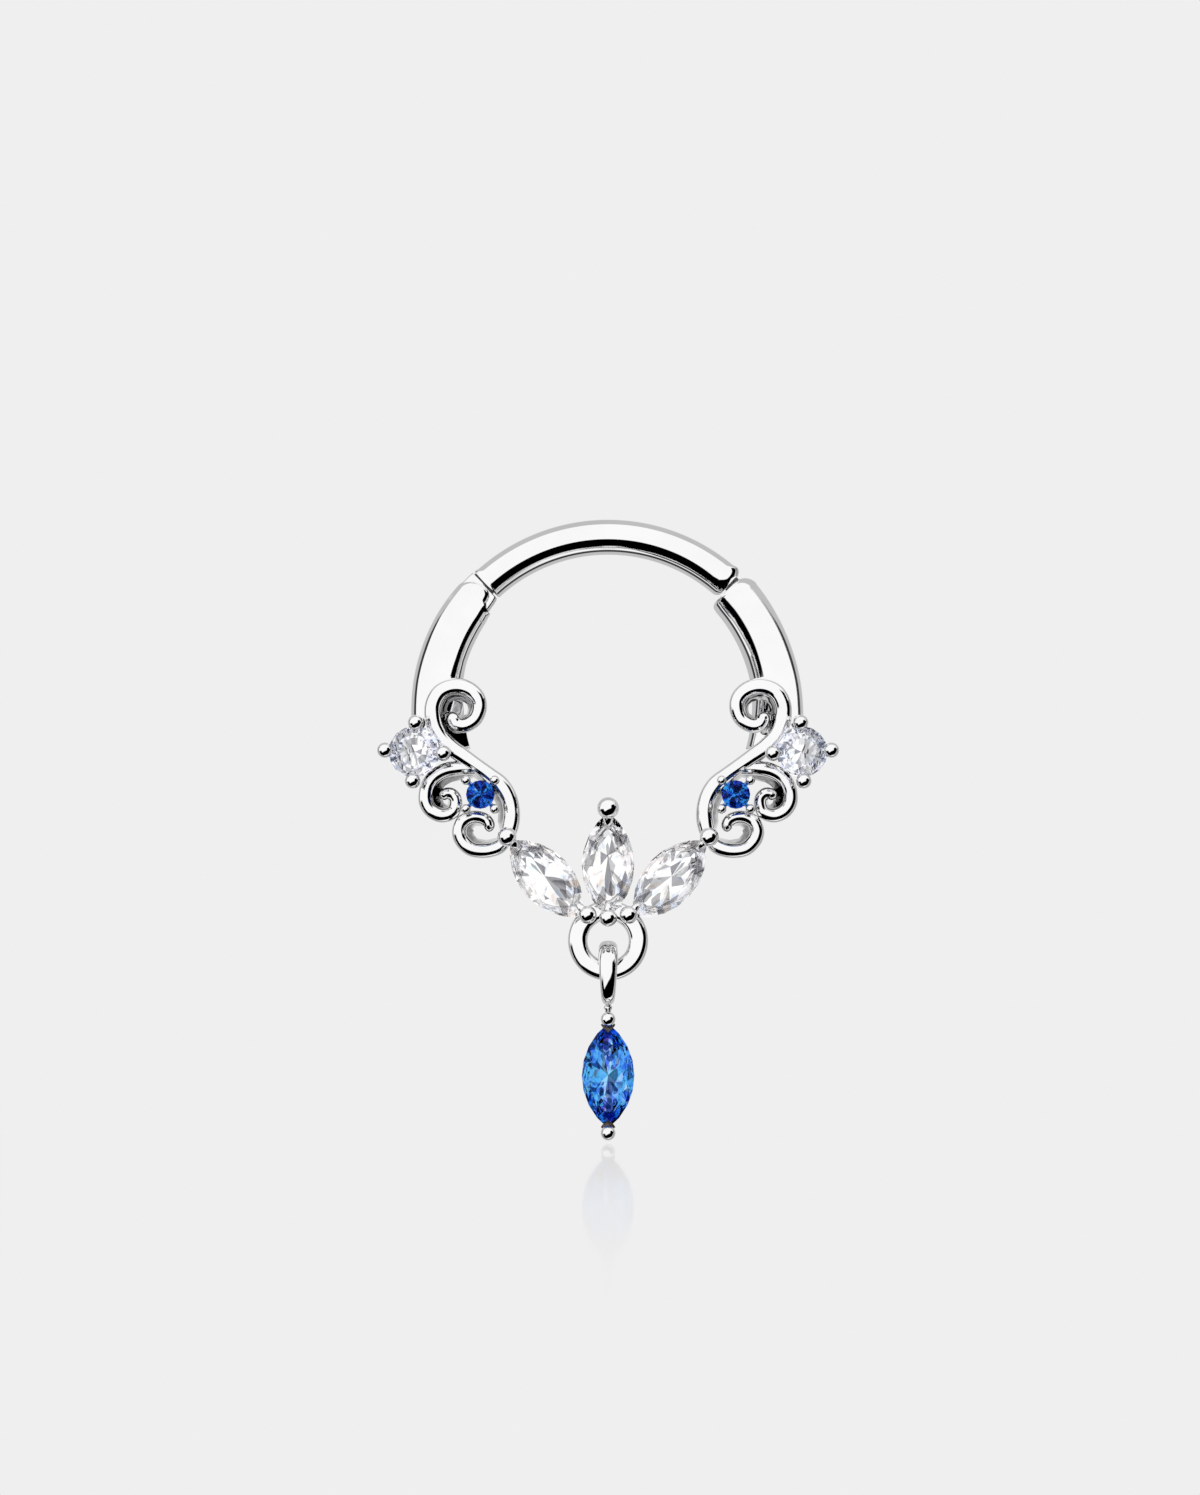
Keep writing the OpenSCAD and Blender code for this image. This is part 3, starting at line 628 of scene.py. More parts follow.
# Columns: name, path, width, how far its front is behind the long one's, lean of its walls
SCROLLS = (("long", LONG_SCROLL, 0.56, 0.0, LONG_DRAFTS), ("outer", OUTER_SCROLL, 0.49, 0.1, OUTER_DRAFTS),
           ("lower", LOWER_SCROLL, 0.49, 0.05, LOWER_DRAFTS))
SCROLL_DROP = Vector((0, 0.05))
SIDES = (("left", 1), ("right", -1))
for label, rows, width, behind, drafts in SCROLLS:
    spots = [on_flank(a, b) - SCROLL_DROP for a, b, _ in rows]
    shares = [share for _, _, share in rows]
    for side, sign in SIDES:
        leaning = [row if sign < 0 else (row[0], row[2], row[1]) for row in drafts]
        wire = bent_wire(f"scroll_{label}_{side}", [(sign * x, z) for x, z in spots], shares, width,
                         LONG_FRONT - behind, WIRE_BACK, WIRE_RUNS, leaning)
        dress(wire, "frame", "polished_steel", STEEL, "ring_frame")


# Small ring. The flat-fronted ring under the fan, soldered behind its foot, that the drop's bail hangs on.
DROP_RING_AT = (0, -7.53)
DROP_RING_D = 2.68
DROP_RING_W = 0.66
DROP_RING_MIDDLE = 1.25
DROP_RING_HALF = 0.285
UPRIGHT = ((0, 0, 0), (1, 0, 0))
ring_r = (DROP_RING_D - DROP_RING_W) / 2
small_ring = bent_wire("drop_ring", arc(DROP_RING_AT, ring_r, 0, math.tau, 48)[:-1], [1] * 48, DROP_RING_W,
                       DROP_RING_MIDDLE + DROP_RING_HALF, DROP_RING_MIDDLE - DROP_RING_HALF, 160, UPRIGHT, True)
dress(small_ring, "frame", "polished_steel", STEEL, "ring_frame")


# Cups and prongs of the round stones. Each stone sits in a turned collar, held by four prongs that end in
# polished balls and reach over its edge.
CROWN = 0.16
PAVILION = 0.43
TABLE = 0.57
GIRDLE = 0.04
RAIL_SHARE = 0.4
RAIL_H = 0.35
STONE_GAP = 0.04
GIRDLE_FRONT = 1.75
BLUE_FRONT = 1.6
BLUE_D = 0.95


def lathe(profile, steps=48):
    """A closed solid turned from a profile of (radius, height), its axis towards the viewer."""
    points = [(*polar(r, math.tau * i / steps), h) for i in range(steps) for r, h in profile]
    return points, [(a, d, c, b) for a, b, c, d in strip(steps, len(profile), True)]


def ball_on_post(length, width, ball_d, post_d, over, aside=0.0, fingered=True):
    """A claw at a stone's upper tip: a link out from the rail, a post that bends in, a ball on its end and, where
    fingered, a short finger down to the crown. Points are (across, along, towards the viewer)."""
    half = width * GIRDLE / 2
    slope = (width * CROWN - half) / ((1 - TABLE) * length / 2)
    rise = half + slope * over + (ball_d / 2 + STONE_GAP) * math.hypot(1, slope)
    rail_top = -width * PAVILION * RAIL_SHARE
    post_y = length / 2 + max(STONE_GAP + post_d / 2, -over)
    ball_y = length / 2 - over
    points, faces = [], []

    def tube(spots, radii, sides=20):
        first = len(points)
        for k, (spot, radius) in enumerate(zip(spots, radii)):
            way = (Vector(spots[min(k + 1, len(spots) - 1)]) - Vector(spots[max(k - 1, 0)])).normalized()
            level = Vector((1, 0, 0))
            other = way.cross(level)
            for i in range(sides):
                turn = math.tau * i / sides
                points.append(Vector(spot) + radius * (math.cos(turn) * level + math.sin(turn) * other))
        faces.extend(tuple(first + i for i in face)
                     for face in strip(len(spots), sides) + caps(len(spots), sides))

    foot, link = rail_top - RAIL_H, rail_top - RAIL_H * 0.5
    bend = [(aside, post_y, foot), (aside, post_y, foot + 0.02), (aside, post_y, rise * 0.2),
            (aside, post_y * 0.6 + ball_y * 0.4, rise * 0.7), (aside, ball_y, rise)]
    tube(bend, [post_d * 0.4, post_d / 2, post_d / 2, post_d * 0.48, post_d * 0.45])
    tube([(aside, length / 2 - width * RAIL_SHARE / 2, link), (aside, post_y, link)], [post_d * 0.4] * 2)
    reach = min(ball_d * 0.9, length * 0.2)
    tip = (aside, ball_y - reach, rise - ball_d * 0.22 + slope * (reach + over) * 0.4)
    if fingered:
        tube([(aside, ball_y, rise), tip], [ball_d * 0.3, ball_d * 0.16])
    turns, rows = 32, 16
    first = len(points)
    for k in range(1, rows):
        tilt = math.pi * k / rows
        for i in range(turns):
            turn = math.tau * i / turns
            points.append(Vector((aside + ball_d / 2 * math.sin(tilt) * math.cos(turn),
                                  ball_y + ball_d / 2 * math.sin(tilt) * math.sin(turn),
                                  rise + ball_d / 2 * math.cos(tilt))))
    faces.extend((first + a, first + d, first + c, first + b) for a, b, c, d in strip(rows - 1, turns))
    top, low = len(points), len(points) + 1
    points.extend([Vector((aside, ball_y, rise + ball_d / 2)), Vector((aside, ball_y, rise - ball_d / 2))])
    last = first + (rows - 2) * turns
    for i in range(turns):
        faces.append((top, first + i, first + (i + 1) % turns))
        faces.append((low, last + (i + 1) % turns, last + i))
    return points, faces


def local_mesh(name, points, faces):
    """A mesh drawn about its own middle in mm, with z towards the viewer."""
    mesh = bpy.data.meshes.new(name)
    mesh.from_pydata([tuple(Vector(p) * MM) for p in points], [], faces)
    mesh.polygons.foreach_set("use_smooth", [len(f) < 5 for f in faces])
    return mesh


def placed(x, z, front, turn=0.0):
    """The matrix that puts a local drawing at its place in the part."""
    return (Matrix.Translation(at(x, z, front)) @ Matrix.Rotation(math.radians(90), 4, "X")
            @ Matrix.Rotation(turn, 4, "Z"))


def stood(name, drawing, *place):
    """An object of a local drawing, as (points, faces), at its place in the part."""
    made = linked(name, local_mesh(name, *drawing))
    made.data.transform(placed(*place))
    return made


def prong_circle():
    """The tree that stands copies of one prong evenly round a stone and moves them to its place."""
    tree = shape_tree("prong_circle", ("Count", "Int"), ("Turn", "Float"), ("Place", "Vector"))
    here = Flow(tree)
    given = here.node("NodeGroupInput")
    spots = here.node("GeometryNodePoints", Count=given.out("Count"))
    turn = given.out("Turn") + here.node("GeometryNodeInputIndex") * math.tau / given.out("Count")
    turn = here.node("FunctionNodeEulerToRotation", Euler=here.node("ShaderNodeCombineXYZ", Z=turn))
    prongs = here.node("GeometryNodeInstanceOnPoints", Points=spots, Instance=given.out("Geometry"), Rotation=turn)
    prongs = here.node("GeometryNodeRealizeInstances", Geometry=prongs)
    upright = here.node("FunctionNodeEulerToRotation", Euler=(math.radians(90), 0.0, 0.0))
    prongs = here.node("GeometryNodeTransform", Geometry=prongs, Rotation=upright, Translation=given.out("Place"))
    prongs = here.node("GeometryNodeSetMaterial", Geometry=prongs, Material=given.out("Material"))
    here.node("NodeGroupOutput", Geometry=prongs)
    return tree


PRONG_CIRCLE = prong_circle()
blue_at = on_flank(0.384, 0.102)
LIP = 0.05
# Columns: name, place, girdle's front, stone's width, collar's back, widths of ball and post, how far the ball
# reaches in over the girdle, turn of the prongs
STONE_SEATS = (("round", ROUND_AT, GIRDLE_FRONT, ROUND_D, 0.6, 0.52, 0.26, -0.12, math.radians(-3)),
               ("blue", tuple(blue_at), BLUE_FRONT, BLUE_D, 0.7, 0.32, 0.196, -0.2, math.radians(45)))
for label, (x, z), front, stone_d, back, ball_d, post_d, over, turn in STONE_SEATS:
    rail_top = -stone_d * PAVILION * RAIL_SHARE
    outer_r = stone_d / 2 - STONE_GAP
    inner_r = stone_d / 2 * (1 - RAIL_SHARE) + STONE_GAP
    foot = back - front
    profile = [(inner_r + LIP, foot), (outer_r - LIP, foot), (outer_r, foot + LIP), (outer_r, rail_top - LIP),
               (outer_r - LIP, rail_top), (inner_r + LIP, rail_top), (inner_r, rail_top - LIP), (inner_r, foot + LIP)]
    for side, sign in SIDES:
        prongs = grown(f"prongs_{label}_{side}",
                       local_mesh("prong", *ball_on_post(stone_d, stone_d, ball_d, post_d, over)), PRONG_CIRCLE,
                       Count=4, Turn=sign * turn, Place=at(sign * x, z, front), Material=STEEL)
        collar = stood(f"collar_{label}_{side}", lathe(profile), sign * x, z, front)
        for piece in (prongs, collar):
            dress(piece, "frame", "polished_steel", STEEL, "ring_frame")


# Seats of the marquise stones. Each stone rests on a pointed rail, held at its tips by claws that end in balls.
# The three lower balls of the fan stand side by side.
def lens(length, width, count=24):
    """Girdle outline of a marquise, clockwise from its upper tip."""
    r = (length ** 2 + width ** 2) / (4 * width)
    half = math.asin(length / 2 / r)
    spots = []
    for side in (1, -1):
        for i in range(count):
            a = half - i * 2 * half / count
            spots.append((side * (r * math.cos(a) - r + width / 2), side * r * math.sin(a)))
    return spots


def marquise_rail(length, width):
    """The rail under a marquise, closed round its opening, with bevelled edges."""
    outer = lens(length - 2 * STONE_GAP, width - 2 * STONE_GAP)
    inner = lens(length * (1 - RAIL_SHARE) + 4 * STONE_GAP, width * (1 - RAIL_SHARE) + 2 * STONE_GAP)
    top = -width * PAVILION * RAIL_SHARE
    lip = 0.2
    section = [(lip, -RAIL_H), (1 - lip, -RAIL_H), (1, -RAIL_H * (1 - lip)), (1, -RAIL_H * lip),
               (1 - lip, 0), (lip, 0), (0, -RAIL_H * lip), (0, -RAIL_H * (1 - lip))]
    points = [(*Vector(i).lerp(Vector(o), share), top + height)
              for i, o in zip(inner, outer) for share, height in section]
    return points, strip(len(outer), len(section), True)


# Columns: name, place, lean, widths of the tip's ball and post, how far that ball reaches in, place of the foot's
# claw across
FAN = (("centre", CENTRE_AT, 0.0, 0.74, 0.4, -0.14, 0.0),
       ("left", SIDE_AT, SIDE_LEAN, 0.64, 0.35, -TIP_OFF, -0.19),
       ("right", (-SIDE_AT[0], SIDE_AT[1]), -SIDE_LEAN, 0.64, 0.35, -TIP_OFF, 0.19))
FOOT_BALL_D = 0.6
FOOT_POST_D = 0.2
for label, (x, z), lean, tip_d, tip_post, tip_over, aside in FAN:
    size = (MARQUISE_L, MARQUISE_W)
    place = (x, z, GIRDLE_FRONT)
    foot_over = -0.05 if aside else 0.0
    foot_claw = ball_on_post(*size, FOOT_BALL_D, FOOT_POST_D, foot_over, aside)
    for piece in (stood(f"rail_{label}", marquise_rail(*size), *place, lean),
                  stood(f"claw_tip_{label}", ball_on_post(*size, tip_d, tip_post, tip_over), *place, lean),
                  stood(f"claw_foot_{label}", foot_claw, *place, lean + math.pi)):
        dress(piece, "frame", "polished_steel", STEEL, "ring_frame")


# Stones. Cubic zirconia, cut with a table, stars, kites and girdle facets above, and with mains and halves in two
# broken rows below. Their flashes in white and grey with a little blue and amber are painted into their colour, and
# the blue ones are dyed through.
STAR_R = 0.8
STAR_Z = 0.6
UPPER_DEEP = 0.38
LOWER_DEEP = 0.7


def gem(name, ior, glints, wedges, rows, slant, heart, heart_highlight, dye=None, depth=0.0):
    """Clear stone, with painted light in its colour. Each facet has its own tone, a painted flash, and the shards that
    the facets behind throw forward are painted as glints and dark patches that fan out from the middle: so many to the
    radian and to the mm, with tones from a table of (place, tone). The heart, so many mm deep, is painted brighter as
    a painted highlight. A dye colours the stone through, the deeper the longer light's path in it."""
    made = bpy.data.materials.new(name)
    here = shader_tree(made)
    tone = here.node("ShaderNodeAttribute", {"attribute_name": "facet_flash"}).out("Color")
    place = here.node("ShaderNodeAttribute", {"attribute_name": "cut_place"}).out("Vector")
    spot = here.node("ShaderNodeSeparateXYZ", Vector=place)
    x, y = spot.out("X"), spot.out("Y")
    fan = here.node("ShaderNodeCombineXYZ", X=here.math("ARCTAN2", y, x) * wedges,
                    Y=here.math("SQRT", x * x + y * y) * rows, Z=spot.out("Z") * 4)
    cell = here.node("ShaderNodeTexVoronoi", Vector=fan, Scale=1.0).out("Color")
    glint = here.node("ShaderNodeValToRGB", {"stops": glints}, Fac=here.node("ShaderNodeSeparateColor", Color=cell))
    near = here.math("ABSOLUTE", y) + here.math("ABSOLUTE", x) * slant
    # Painted highlight: the stone's heart is turned towards a bright tone
    highlight_core = 1 - near.step(heart * 0.5, heart)
    glint = here.mix(highlight_core * 0.8, glint, (*heart_highlight, 1))
    tone = here.mix(1.0, tone, glint, "MULTIPLY")
    surface = here.node("ShaderNodeBsdfPrincipled", Base_Color=tone, Roughness=0.0, IOR=ior, Transmission_Weight=1.0,
                        Specular_Tint=(0.1, 0.1, 0.1, 1))
    if dye:
        here.node("ShaderNodeOutputMaterial", Surface=surface,
                  Volume=here.node("ShaderNodeVolumeAbsorption", Color=(*dye, 1), Density=depth))
    else:
        here.node("ShaderNodeOutputMaterial", Surface=surface)
    return made


def round_inset(diameter):
    """The outlines of a round stone, by the share of the way in from its girdle."""
    return lambda share: [polar(diameter / 2 * (1 - share), -math.tau * i / 16) for i in range(16)]


def marquise_inset(length, width):
    """The same of a marquise. Its slopes are alike all round, so its ridge runs out to the tips."""
    r = (length ** 2 + width ** 2) / (4 * width)
    return lambda share: lens(2 * math.sqrt((r - width / 2 * share) ** 2 - (r - width / 2) ** 2),
                              width * (1 - share), 8)


def cut_stone(name, inset, width, culet, tones, seed):
    """A cut stone on 16 girdle points, drawn about its girdle's middle with the table towards the viewer."""
    crown = width * CROWN
    pavilion = width * PAVILION
    half = width * GIRDLE / 2

    def ring(share, height, spots):
        return [(x * share + culet[0] * (height < -half), y * share + culet[1] * (height < -half), height)
                for x, y in spots]

    draw = random.Random(seed)

    def deep(share, spots):
        """A ring of the pavilion, cut by hand: its points stray a little from the drawing."""
        return [(x * draw.uniform(0.93, 1.07) + culet[0] * share, y * draw.uniform(0.98, 1.01) + culet[1] * share,
                 -pavilion * share * draw.uniform(0.96, 1.04)) for x, y in spots]

    outline = inset(0)
    near, deeper = inset(UPPER_DEEP), inset(LOWER_DEEP)
    between = [((x + u) / 2, (y + v) / 2) for (x, y), (u, v) in zip(near, near[1:] + near[:1])]
    points = (ring(TABLE, crown, outline[::2]) + ring(STAR_R, half + (crown - half) * STAR_Z, outline[1::2])
              + ring(1, half, outline) + ring(1, -half, outline) + deep(UPPER_DEEP, between)
              + deep(LOWER_DEEP, deeper[1::2]) + [(culet[0], culet[1], -pavilion)])
    star, upper, lower, middle, broken, tip = 8, 16, 32, 48, 64, 72
    faces = [tuple(range(7, -1, -1))]
    for k in range(8):
        after, before, g = (k + 1) % 8, (k + 7) % 8, 2 * k
        faces += [(k, after, star + k), (k, star + k, upper + g), (k, upper + g, star + before),
                  (star + k, upper + g + 1, upper + g), (star + k, upper + (g + 2) % 16, upper + g + 1),
                  (broken + k, middle + g, middle + g + 1), (broken + k, middle + g + 1, broken + after),
                  (broken + after, middle + g + 1, middle + (g + 2) % 16), (broken + k, broken + after, tip)]
    for i in range(16):
        j = (i + 1) % 16
        faces += [(upper + i, upper + j, lower + j, lower + i), (lower + i, lower + j, middle + i),
                  (middle + i, lower + j, middle + j)]
    made = piece_of(name, [Vector(p) * MM for p in points], faces, set(range(len(faces))))
    cut_place = made.data.attributes.new("cut_place", "FLOAT_VECTOR", "POINT")
    cut_place.data.foreach_set("vector", [c for p in points for c in p])
    # Each facet gets a painted flash: one of the tones, picked at random
    layer = made.data.color_attributes.new("facet_flash", "FLOAT_COLOR", "CORNER")
    for polygon in made.data.polygons:
        tone = tones[0] if polygon.index == 0 else draw.choice(tones)
        for loop in polygon.loop_indices:
            layer.data[loop].color = (*tone, 1)
    return made


# Painted flashes of the facets: mostly white, some faint blue and amber, and a few darker ones as painted shade
CLEAR_FLASHES = ((0.99, 0.99, 0.99),) * 7 + ((0.9, 0.94, 1.0), (1.0, 0.95, 0.9), (0.85, 0.85, 0.86))
WHITE_FLASHES = ((0.98, 0.985, 1.0),) * 6 + ((0.88, 0.91, 1.0), (0.8, 0.82, 0.9))
BLUE_FLASHES = ((0.95, 0.95, 1.0), (0.3, 0.35, 0.7), (0.8, 0.8, 1.0), (0.5, 0.9, 0.9))
AQUA_FLASHES = ((1.0, 1.0, 1.0), (0.6, 0.6, 0.95), (0.8, 1.0, 1.0), (0.9, 0.75, 0.95), (0.5, 0.55, 0.8),
              (0.7, 1.0, 1.0))
# Painted glints and dark patches. Columns: where on the scale from 0 to 1 a tone starts, and the tone
CLEAR_GLINTS = ((0, (0.2, 0.2, 0.21)), (0.07, (0.97, 0.97, 0.98)), (0.33, (0.66, 0.66, 0.67)),
                (0.44, (0.98, 0.98, 0.98)), (0.8, (1.0, 0.82, 0.68)), (0.83, (0.98, 0.98, 1.0)),
                (0.92, (0.64, 0.76, 1.0)), (0.95, (0.97, 0.97, 0.99)))
WHITE_GLINTS = ((0, (0.1, 0.12, 0.18)), (0.08, (0.98, 0.98, 1.0)), (0.38, (0.7, 0.76, 0.95)),
                (0.46, (0.99, 0.99, 1.0)), (0.8, (0.9, 0.9, 1.0)), (0.86, (0.98, 0.98, 1.0)))
BLUE_GLINTS = ((0, (0.003, 0.005, 0.03)), (0.3, (0.12, 0.16, 0.6)), (0.46, (0.8, 0.9, 1.0)),
               (0.58, (1.0, 1.0, 1.0)), (0.86, (0.6, 0.2, 0.5)), (0.9, (0.4, 0.6, 0.9)))
AQUA_GLINTS = ((0, (0.01, 0.03, 0.14)), (0.2, (0.22, 0.28, 0.9)), (0.42, (0.75, 0.9, 1.0)),
               (0.6, (1.0, 1.0, 1.0)), (0.86, (0.8, 0.15, 0.65)), (0.9, (0.45, 0.5, 1.0)))
# The white of the painted highlight at a stone's heart
PURE = (1.0, 1.0, 1.0)
BLUE_DYE = (0.0, 0.62, 0.93)
CLEAR = gem("clear_stone", 1.32, CLEAR_GLINTS, 5.0, 2.4, -0.3, 0.2, PURE)
WHITE = gem("white_stone", 1.34, WHITE_GLINTS, 6.0, 2.0, 1.0, 0.8, PURE)
BLUE = gem("blue_stone", 1.55, BLUE_GLINTS, 2.2, 3.0, 1.0, 0.15, PURE, BLUE_DYE, 2900)
AQUA = gem("aqua_stone", 1.5, AQUA_GLINTS, 4.5, 4.0, -0.1, 0.24, (0.8, 1.0, 1.0), BLUE_DYE, 1000)

fan_inset = marquise_inset(MARQUISE_L, MARQUISE_W)
MARQUISE = (fan_inset, MARQUISE_W, CLEAR, CLEAR_FLASHES, "clear_stone")
ROUND = (round_inset(ROUND_D), ROUND_D, WHITE, WHITE_FLASHES, "clear_stone")
SMALL = (round_inset(BLUE_D), BLUE_D, BLUE, BLUE_FLASHES, "blue_stone")
# Columns: name, cut, place, girdle's front, lean, place of the culet, seeds of the hand-cut facets on each side
STONES = (("centre_marquise", MARQUISE, CENTRE_AT, GIRDLE_FRONT, 0.0, (0, 0.3), (3,)),
          ("{}_marquise", MARQUISE, SIDE_AT, GIRDLE_FRONT, SIDE_LEAN, (0, 0.1), (5, 7)),
          ("{}_round_stone", ROUND, ROUND_AT, GIRDLE_FRONT, 0.0, (0, 0), (9, 11)),
          ("{}_blue_stone", SMALL, tuple(blue_at), BLUE_FRONT, 0.0, (0, 0), (13, 15)))
for name, (inset, width, material, tones, slot), (x, z), front, lean, culet, seeds in STONES:
    for (side, sign), seed in zip(SIDES, seeds):
        node = name.format(side)
        stone = cut_stone(f"cut_{node}", inset, width, culet, tones, seed)
        stone.data.transform(placed(sign * x, z, front, sign * lean))
        dress(stone, "frame", slot, material, node)


# Hinged bar. The plain bar that goes through the septum, 16 gauge. Its right end carries the hinge's tongue,
# and its left end the click tongue that snaps into the left arm.
BAR_IN_EDGE = 0.53
BAR_OUT_EDGE = 0.2
BAR_STEPS = 80
CORNER_STEPS = 8
# Columns as for the arms' edges
ROUNDED = ((0, 80), (0.19, 56), (0.35, 48.5), (0.6, 37.5), (0.96, 8.5), (1, 0))


def bar_outline(inner, outer, right_end, left_end, right_corner, left_corner):
    """Outline of the bar, anticlockwise from its right end's inner corner, drawn in by its edges' widths."""
    def end(short, corner):
        t = SEAM_GAP / 2 + short + corner
        return (seam_arc(BAR_IN + inner + corner, t, corner, 180, 270, CORNER_STEPS)
                + seam_arc(BAR_OUT - outer - corner, t, corner, 270, 360, CORNER_STEPS))

    def along(radius, start, finish):
        angles = [math.atan2(y, x) for x, y in (start, finish)]
        return arc((0, 0), radius, *angles, BAR_STEPS)[1:-1]

    right = end(right_end, right_corner)
    left = turned(end(left_end, left_corner))
    return (right + along(BAR_OUT - outer, right[-1], left[0])
            + left + along(BAR_IN + inner, left[-1], right[0]))


bar_rim = bar_outline(0.0, 0.0, 0.0, 0.0, 0.22, 0.03)
outer_part = range(2 * CORNER_STEPS + 2, 2 * CORNER_STEPS + 1 + BAR_STEPS)
bar = plate("bar", bar_rim, bar_outline(BAR_IN_EDGE, BAR_OUT_EDGE, 0.2, 0.12, 0.22, 0.03),
            [SHARP if i in outer_part else ROUNDED for i in range(len(bar_rim))], BAR_W / 2, BAR_W)
dress(bar, "bar", "polished_steel", STEEL, "hinged_bar")

TONGUE_R = 0.43
TONGUE_HALF = 0.22
TONGUE_BORE_R = 0.23
CLICK_HALF = 0.2
CLICK_W = 0.6
SHOULDER_U = 6.48
HINGE_SHOULDER_U = 6.3
# Each tongue has a shoulder that fills the seam behind the bar's end
shoulder = seam_points((PIN_U + 0.15, PIN_T), (PIN_U + 0.15, -0.12), (HINGE_SHOULDER_U, -0.12),
                       (HINGE_SHOULDER_U, 0.4), (PIN_U - 0.39, 0.4))
tongue = prism("hinge_tongue", seam_arc(PIN_U, PIN_T, TONGUE_R, 180, 360, 24) + shoulder, -TONGUE_HALF, TONGUE_HALF)
carve(tongue, [prism("tongue_bore", seam_arc(PIN_U, PIN_T, TONGUE_BORE_R, 0, 350, 35), -1, 1)])
click = prism("click_tongue", turned(seam_points(
    (CLICK_U, -CLICK_L), (CLICK_U + CLICK_W, -CLICK_L), (CLICK_U + CLICK_W, -0.1), (SHOULDER_U, -0.1),
    (SHOULDER_U, 0.3), (CLICK_U, 0.3))), -CLICK_HALF, CLICK_HALF)
# The tongues carry painted shade, dark like the seams they sit in
for piece in (tongue, click):
    dress(piece, "bar", "polished_steel", SHADED_STEEL, "hinged_bar")


# Hinge pin. A short round pin, pressed in from the back and polished flush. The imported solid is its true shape.
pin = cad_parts["hinge_pin"]
pin.data.materials.clear()
pin.data.materials.append(STEEL)


# Drop. A bail loop on the small ring, a neck below it, and a blue marquise in a pointed rail between two claws.
# V-shaped seats, painted dark as shade, cover the stone's tips.
HANG_Z = -8.555
BAIL_D = 2.1
DROP_L = 3.5
DROP_W = 1.75
DROP_Z = -12.015
DROP_FRONT = 1.55
DROP_BALL_D = 0.5
DROP_POST_D = 0.25
DROP_OVER = -0.14
# Columns: radius of the neck, with its small bead, and how far below its top
NECK = ((0.13, 0.0), (0.1, 0.1), (0.1, 0.17), (0.13, 0.21), (0.145, 0.26), (0.13, 0.31), (0.1, 0.35), (0.13, 0.6))
NECK_SIDES = 24


def bail_loop():
    """A loop seen edge-on, broad at its top and narrow and squarer where it meets the neck."""
    points = []
    around, sides = 64, 24
    for i in range(around):
        turn = math.tau * i / around
        share = (1 + math.cos(turn)) / 2
        half_x = 0.21 + 0.13 * share ** 0.6
        half_r = 0.2 + 0.1 * share
        middle = BAIL_D / 2 - half_r
        for k in range(sides):
            lean = math.tau * k / sides
            x = half_x * math.copysign(abs(math.cos(lean)) ** 0.8, math.cos(lean))
            r = middle + half_r * math.copysign(abs(math.sin(lean)) ** 0.8, math.sin(lean))
            full = (abs(math.sin(turn)) ** 3 + abs(math.cos(turn)) ** 3) ** (-1 / 3) if math.cos(turn) < 0 else 1.0
            low = max(0.0, -math.cos(turn))
            points.append(at(x, HANG_Z + r * full * math.cos(turn) * (1 + 0.08 * low),
                             DROP_RING_MIDDLE + r * full * math.sin(turn)))
    return piece_of("bail", points, strip(around, sides, True))


def tip_seat(length, width):
    """A flat V that lies just over a marquise's upper tip, behind the claw's ball."""
    tip = length / 2
    low = width * GIRDLE / 2 + 0.05
    slope = (width * CROWN - low) / ((1 - TABLE) * length / 2)
    outline = [(-0.24, 0.05), (-0.2, 0.12), (0.0, 0.3), (0.2, 0.12), (0.24, 0.05), (0.1, -0.1), (-0.1, -0.1)]
    n = len(outline)
    points = [(x, tip - down, low + slope * down + t) for t in (0.03, 0.09) for x, down in outline]
    return points, caps(2, n) + strip(2, n)


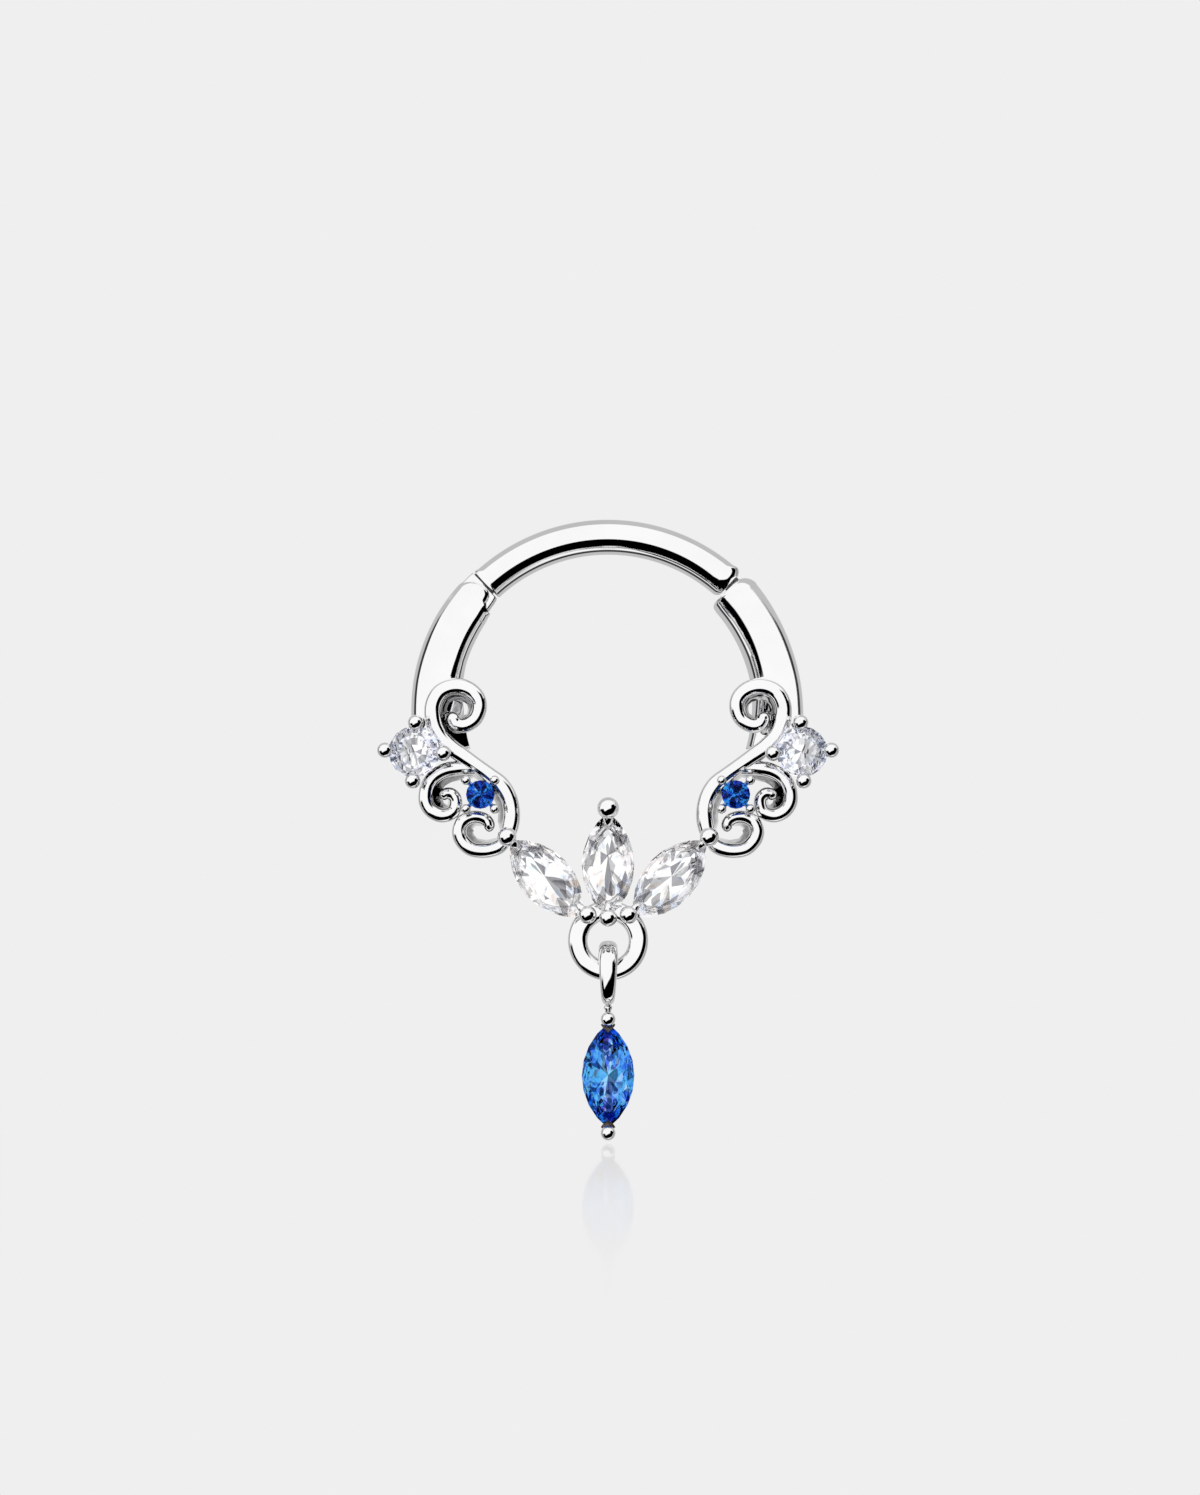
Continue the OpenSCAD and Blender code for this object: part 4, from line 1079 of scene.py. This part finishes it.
drop_pieces = [bail_loop()]
neck_top = HANG_Z - BAIL_D / 2 + 0.1
neck_points = []
for radius, fall in NECK:
    for i in range(NECK_SIDES):
        x, forward = polar(radius, math.tau * i / NECK_SIDES)
        neck_points.append(at(x, neck_top - fall, DROP_RING_MIDDLE + forward))
drop_pieces.append(piece_of("neck", neck_points, strip(len(NECK), NECK_SIDES) + caps(len(NECK), NECK_SIDES)))
drop_pieces.append(stood("rail_drop", marquise_rail(DROP_L, DROP_W), 0, DROP_Z, DROP_FRONT))
for label, turn in (("top", 0.0), ("foot", math.pi)):
    place = (0, DROP_Z, DROP_FRONT, turn)
    claw = ball_on_post(DROP_L, DROP_W, DROP_BALL_D, DROP_POST_D, DROP_OVER, fingered=False)
    drop_pieces.append(stood(f"claw_drop_{label}", claw, *place))
    # Each seat is painted dark, as painted shade over the stone's tip
    seat = stood(f"seat_drop_{label}", tip_seat(DROP_L, DROP_W), *place)
    dress(seat, "drop", "polished_steel", SHADED_STEEL, "drop_setting")
for piece in drop_pieces:
    dress(piece, "drop", "polished_steel", STEEL, "drop_setting")

drop_stone = cut_stone("cut_drop_marquise", marquise_inset(DROP_L, DROP_W), DROP_W, (0, 0), AQUA_FLASHES, 21)
drop_stone.data.transform(placed(0, DROP_Z, DROP_FRONT))
dress(drop_stone, "drop", "aqua_stone", AQUA, "drop_marquise")


# Floor. A pale sheet just under the drop, with a faint gloss that mirrors the drop and dies away to the front.
FLOOR_Z = -20.16
FLOOR_HALF = 2000
FADE_END = 75
GLOSS = 0.22


def floor_sheet():
    made = piece_of("floor", [Vector((x, y, FLOOR_Z)) * MM for x, y in (
        (-FLOOR_HALF, -FLOOR_HALF), (FLOOR_HALF, -FLOOR_HALF), (FLOOR_HALF, FLOOR_HALF), (-FLOOR_HALF, FLOOR_HALF))],
        [(0, 1, 2, 3)])
    finish = bpy.data.materials.new("pale_floor")
    here = shader_tree(finish)
    place = here.node("ShaderNodeSeparateXYZ", Vector=here.node("ShaderNodeTexCoord").out("Object"))
    far = here.math("SQRT", place.out("X") * place.out("X") + place.out("Y") * place.out("Y"))
    fade = 1 - far / (FADE_END * MM)
    fade = here.math("MAXIMUM", fade, 0.0)
    plain = here.node("ShaderNodeEmission", Color=(WALL, WALL, WALL, 1), Strength=1.0)
    gloss = here.node("ShaderNodeBsdfAnisotropic", Color=(1, 1, 1, 1), Roughness=0.05)
    mixed = here.node("ShaderNodeMixShader", Fac=fade * fade * GLOSS, _1=plain, _2=gloss)
    here.node("ShaderNodeOutputMaterial", Surface=mixed)
    made.data.materials.append(finish)
    made.visible_diffuse = made.visible_glossy = made.visible_transmission = made.visible_shadow = False
    return made


floor_sheet()
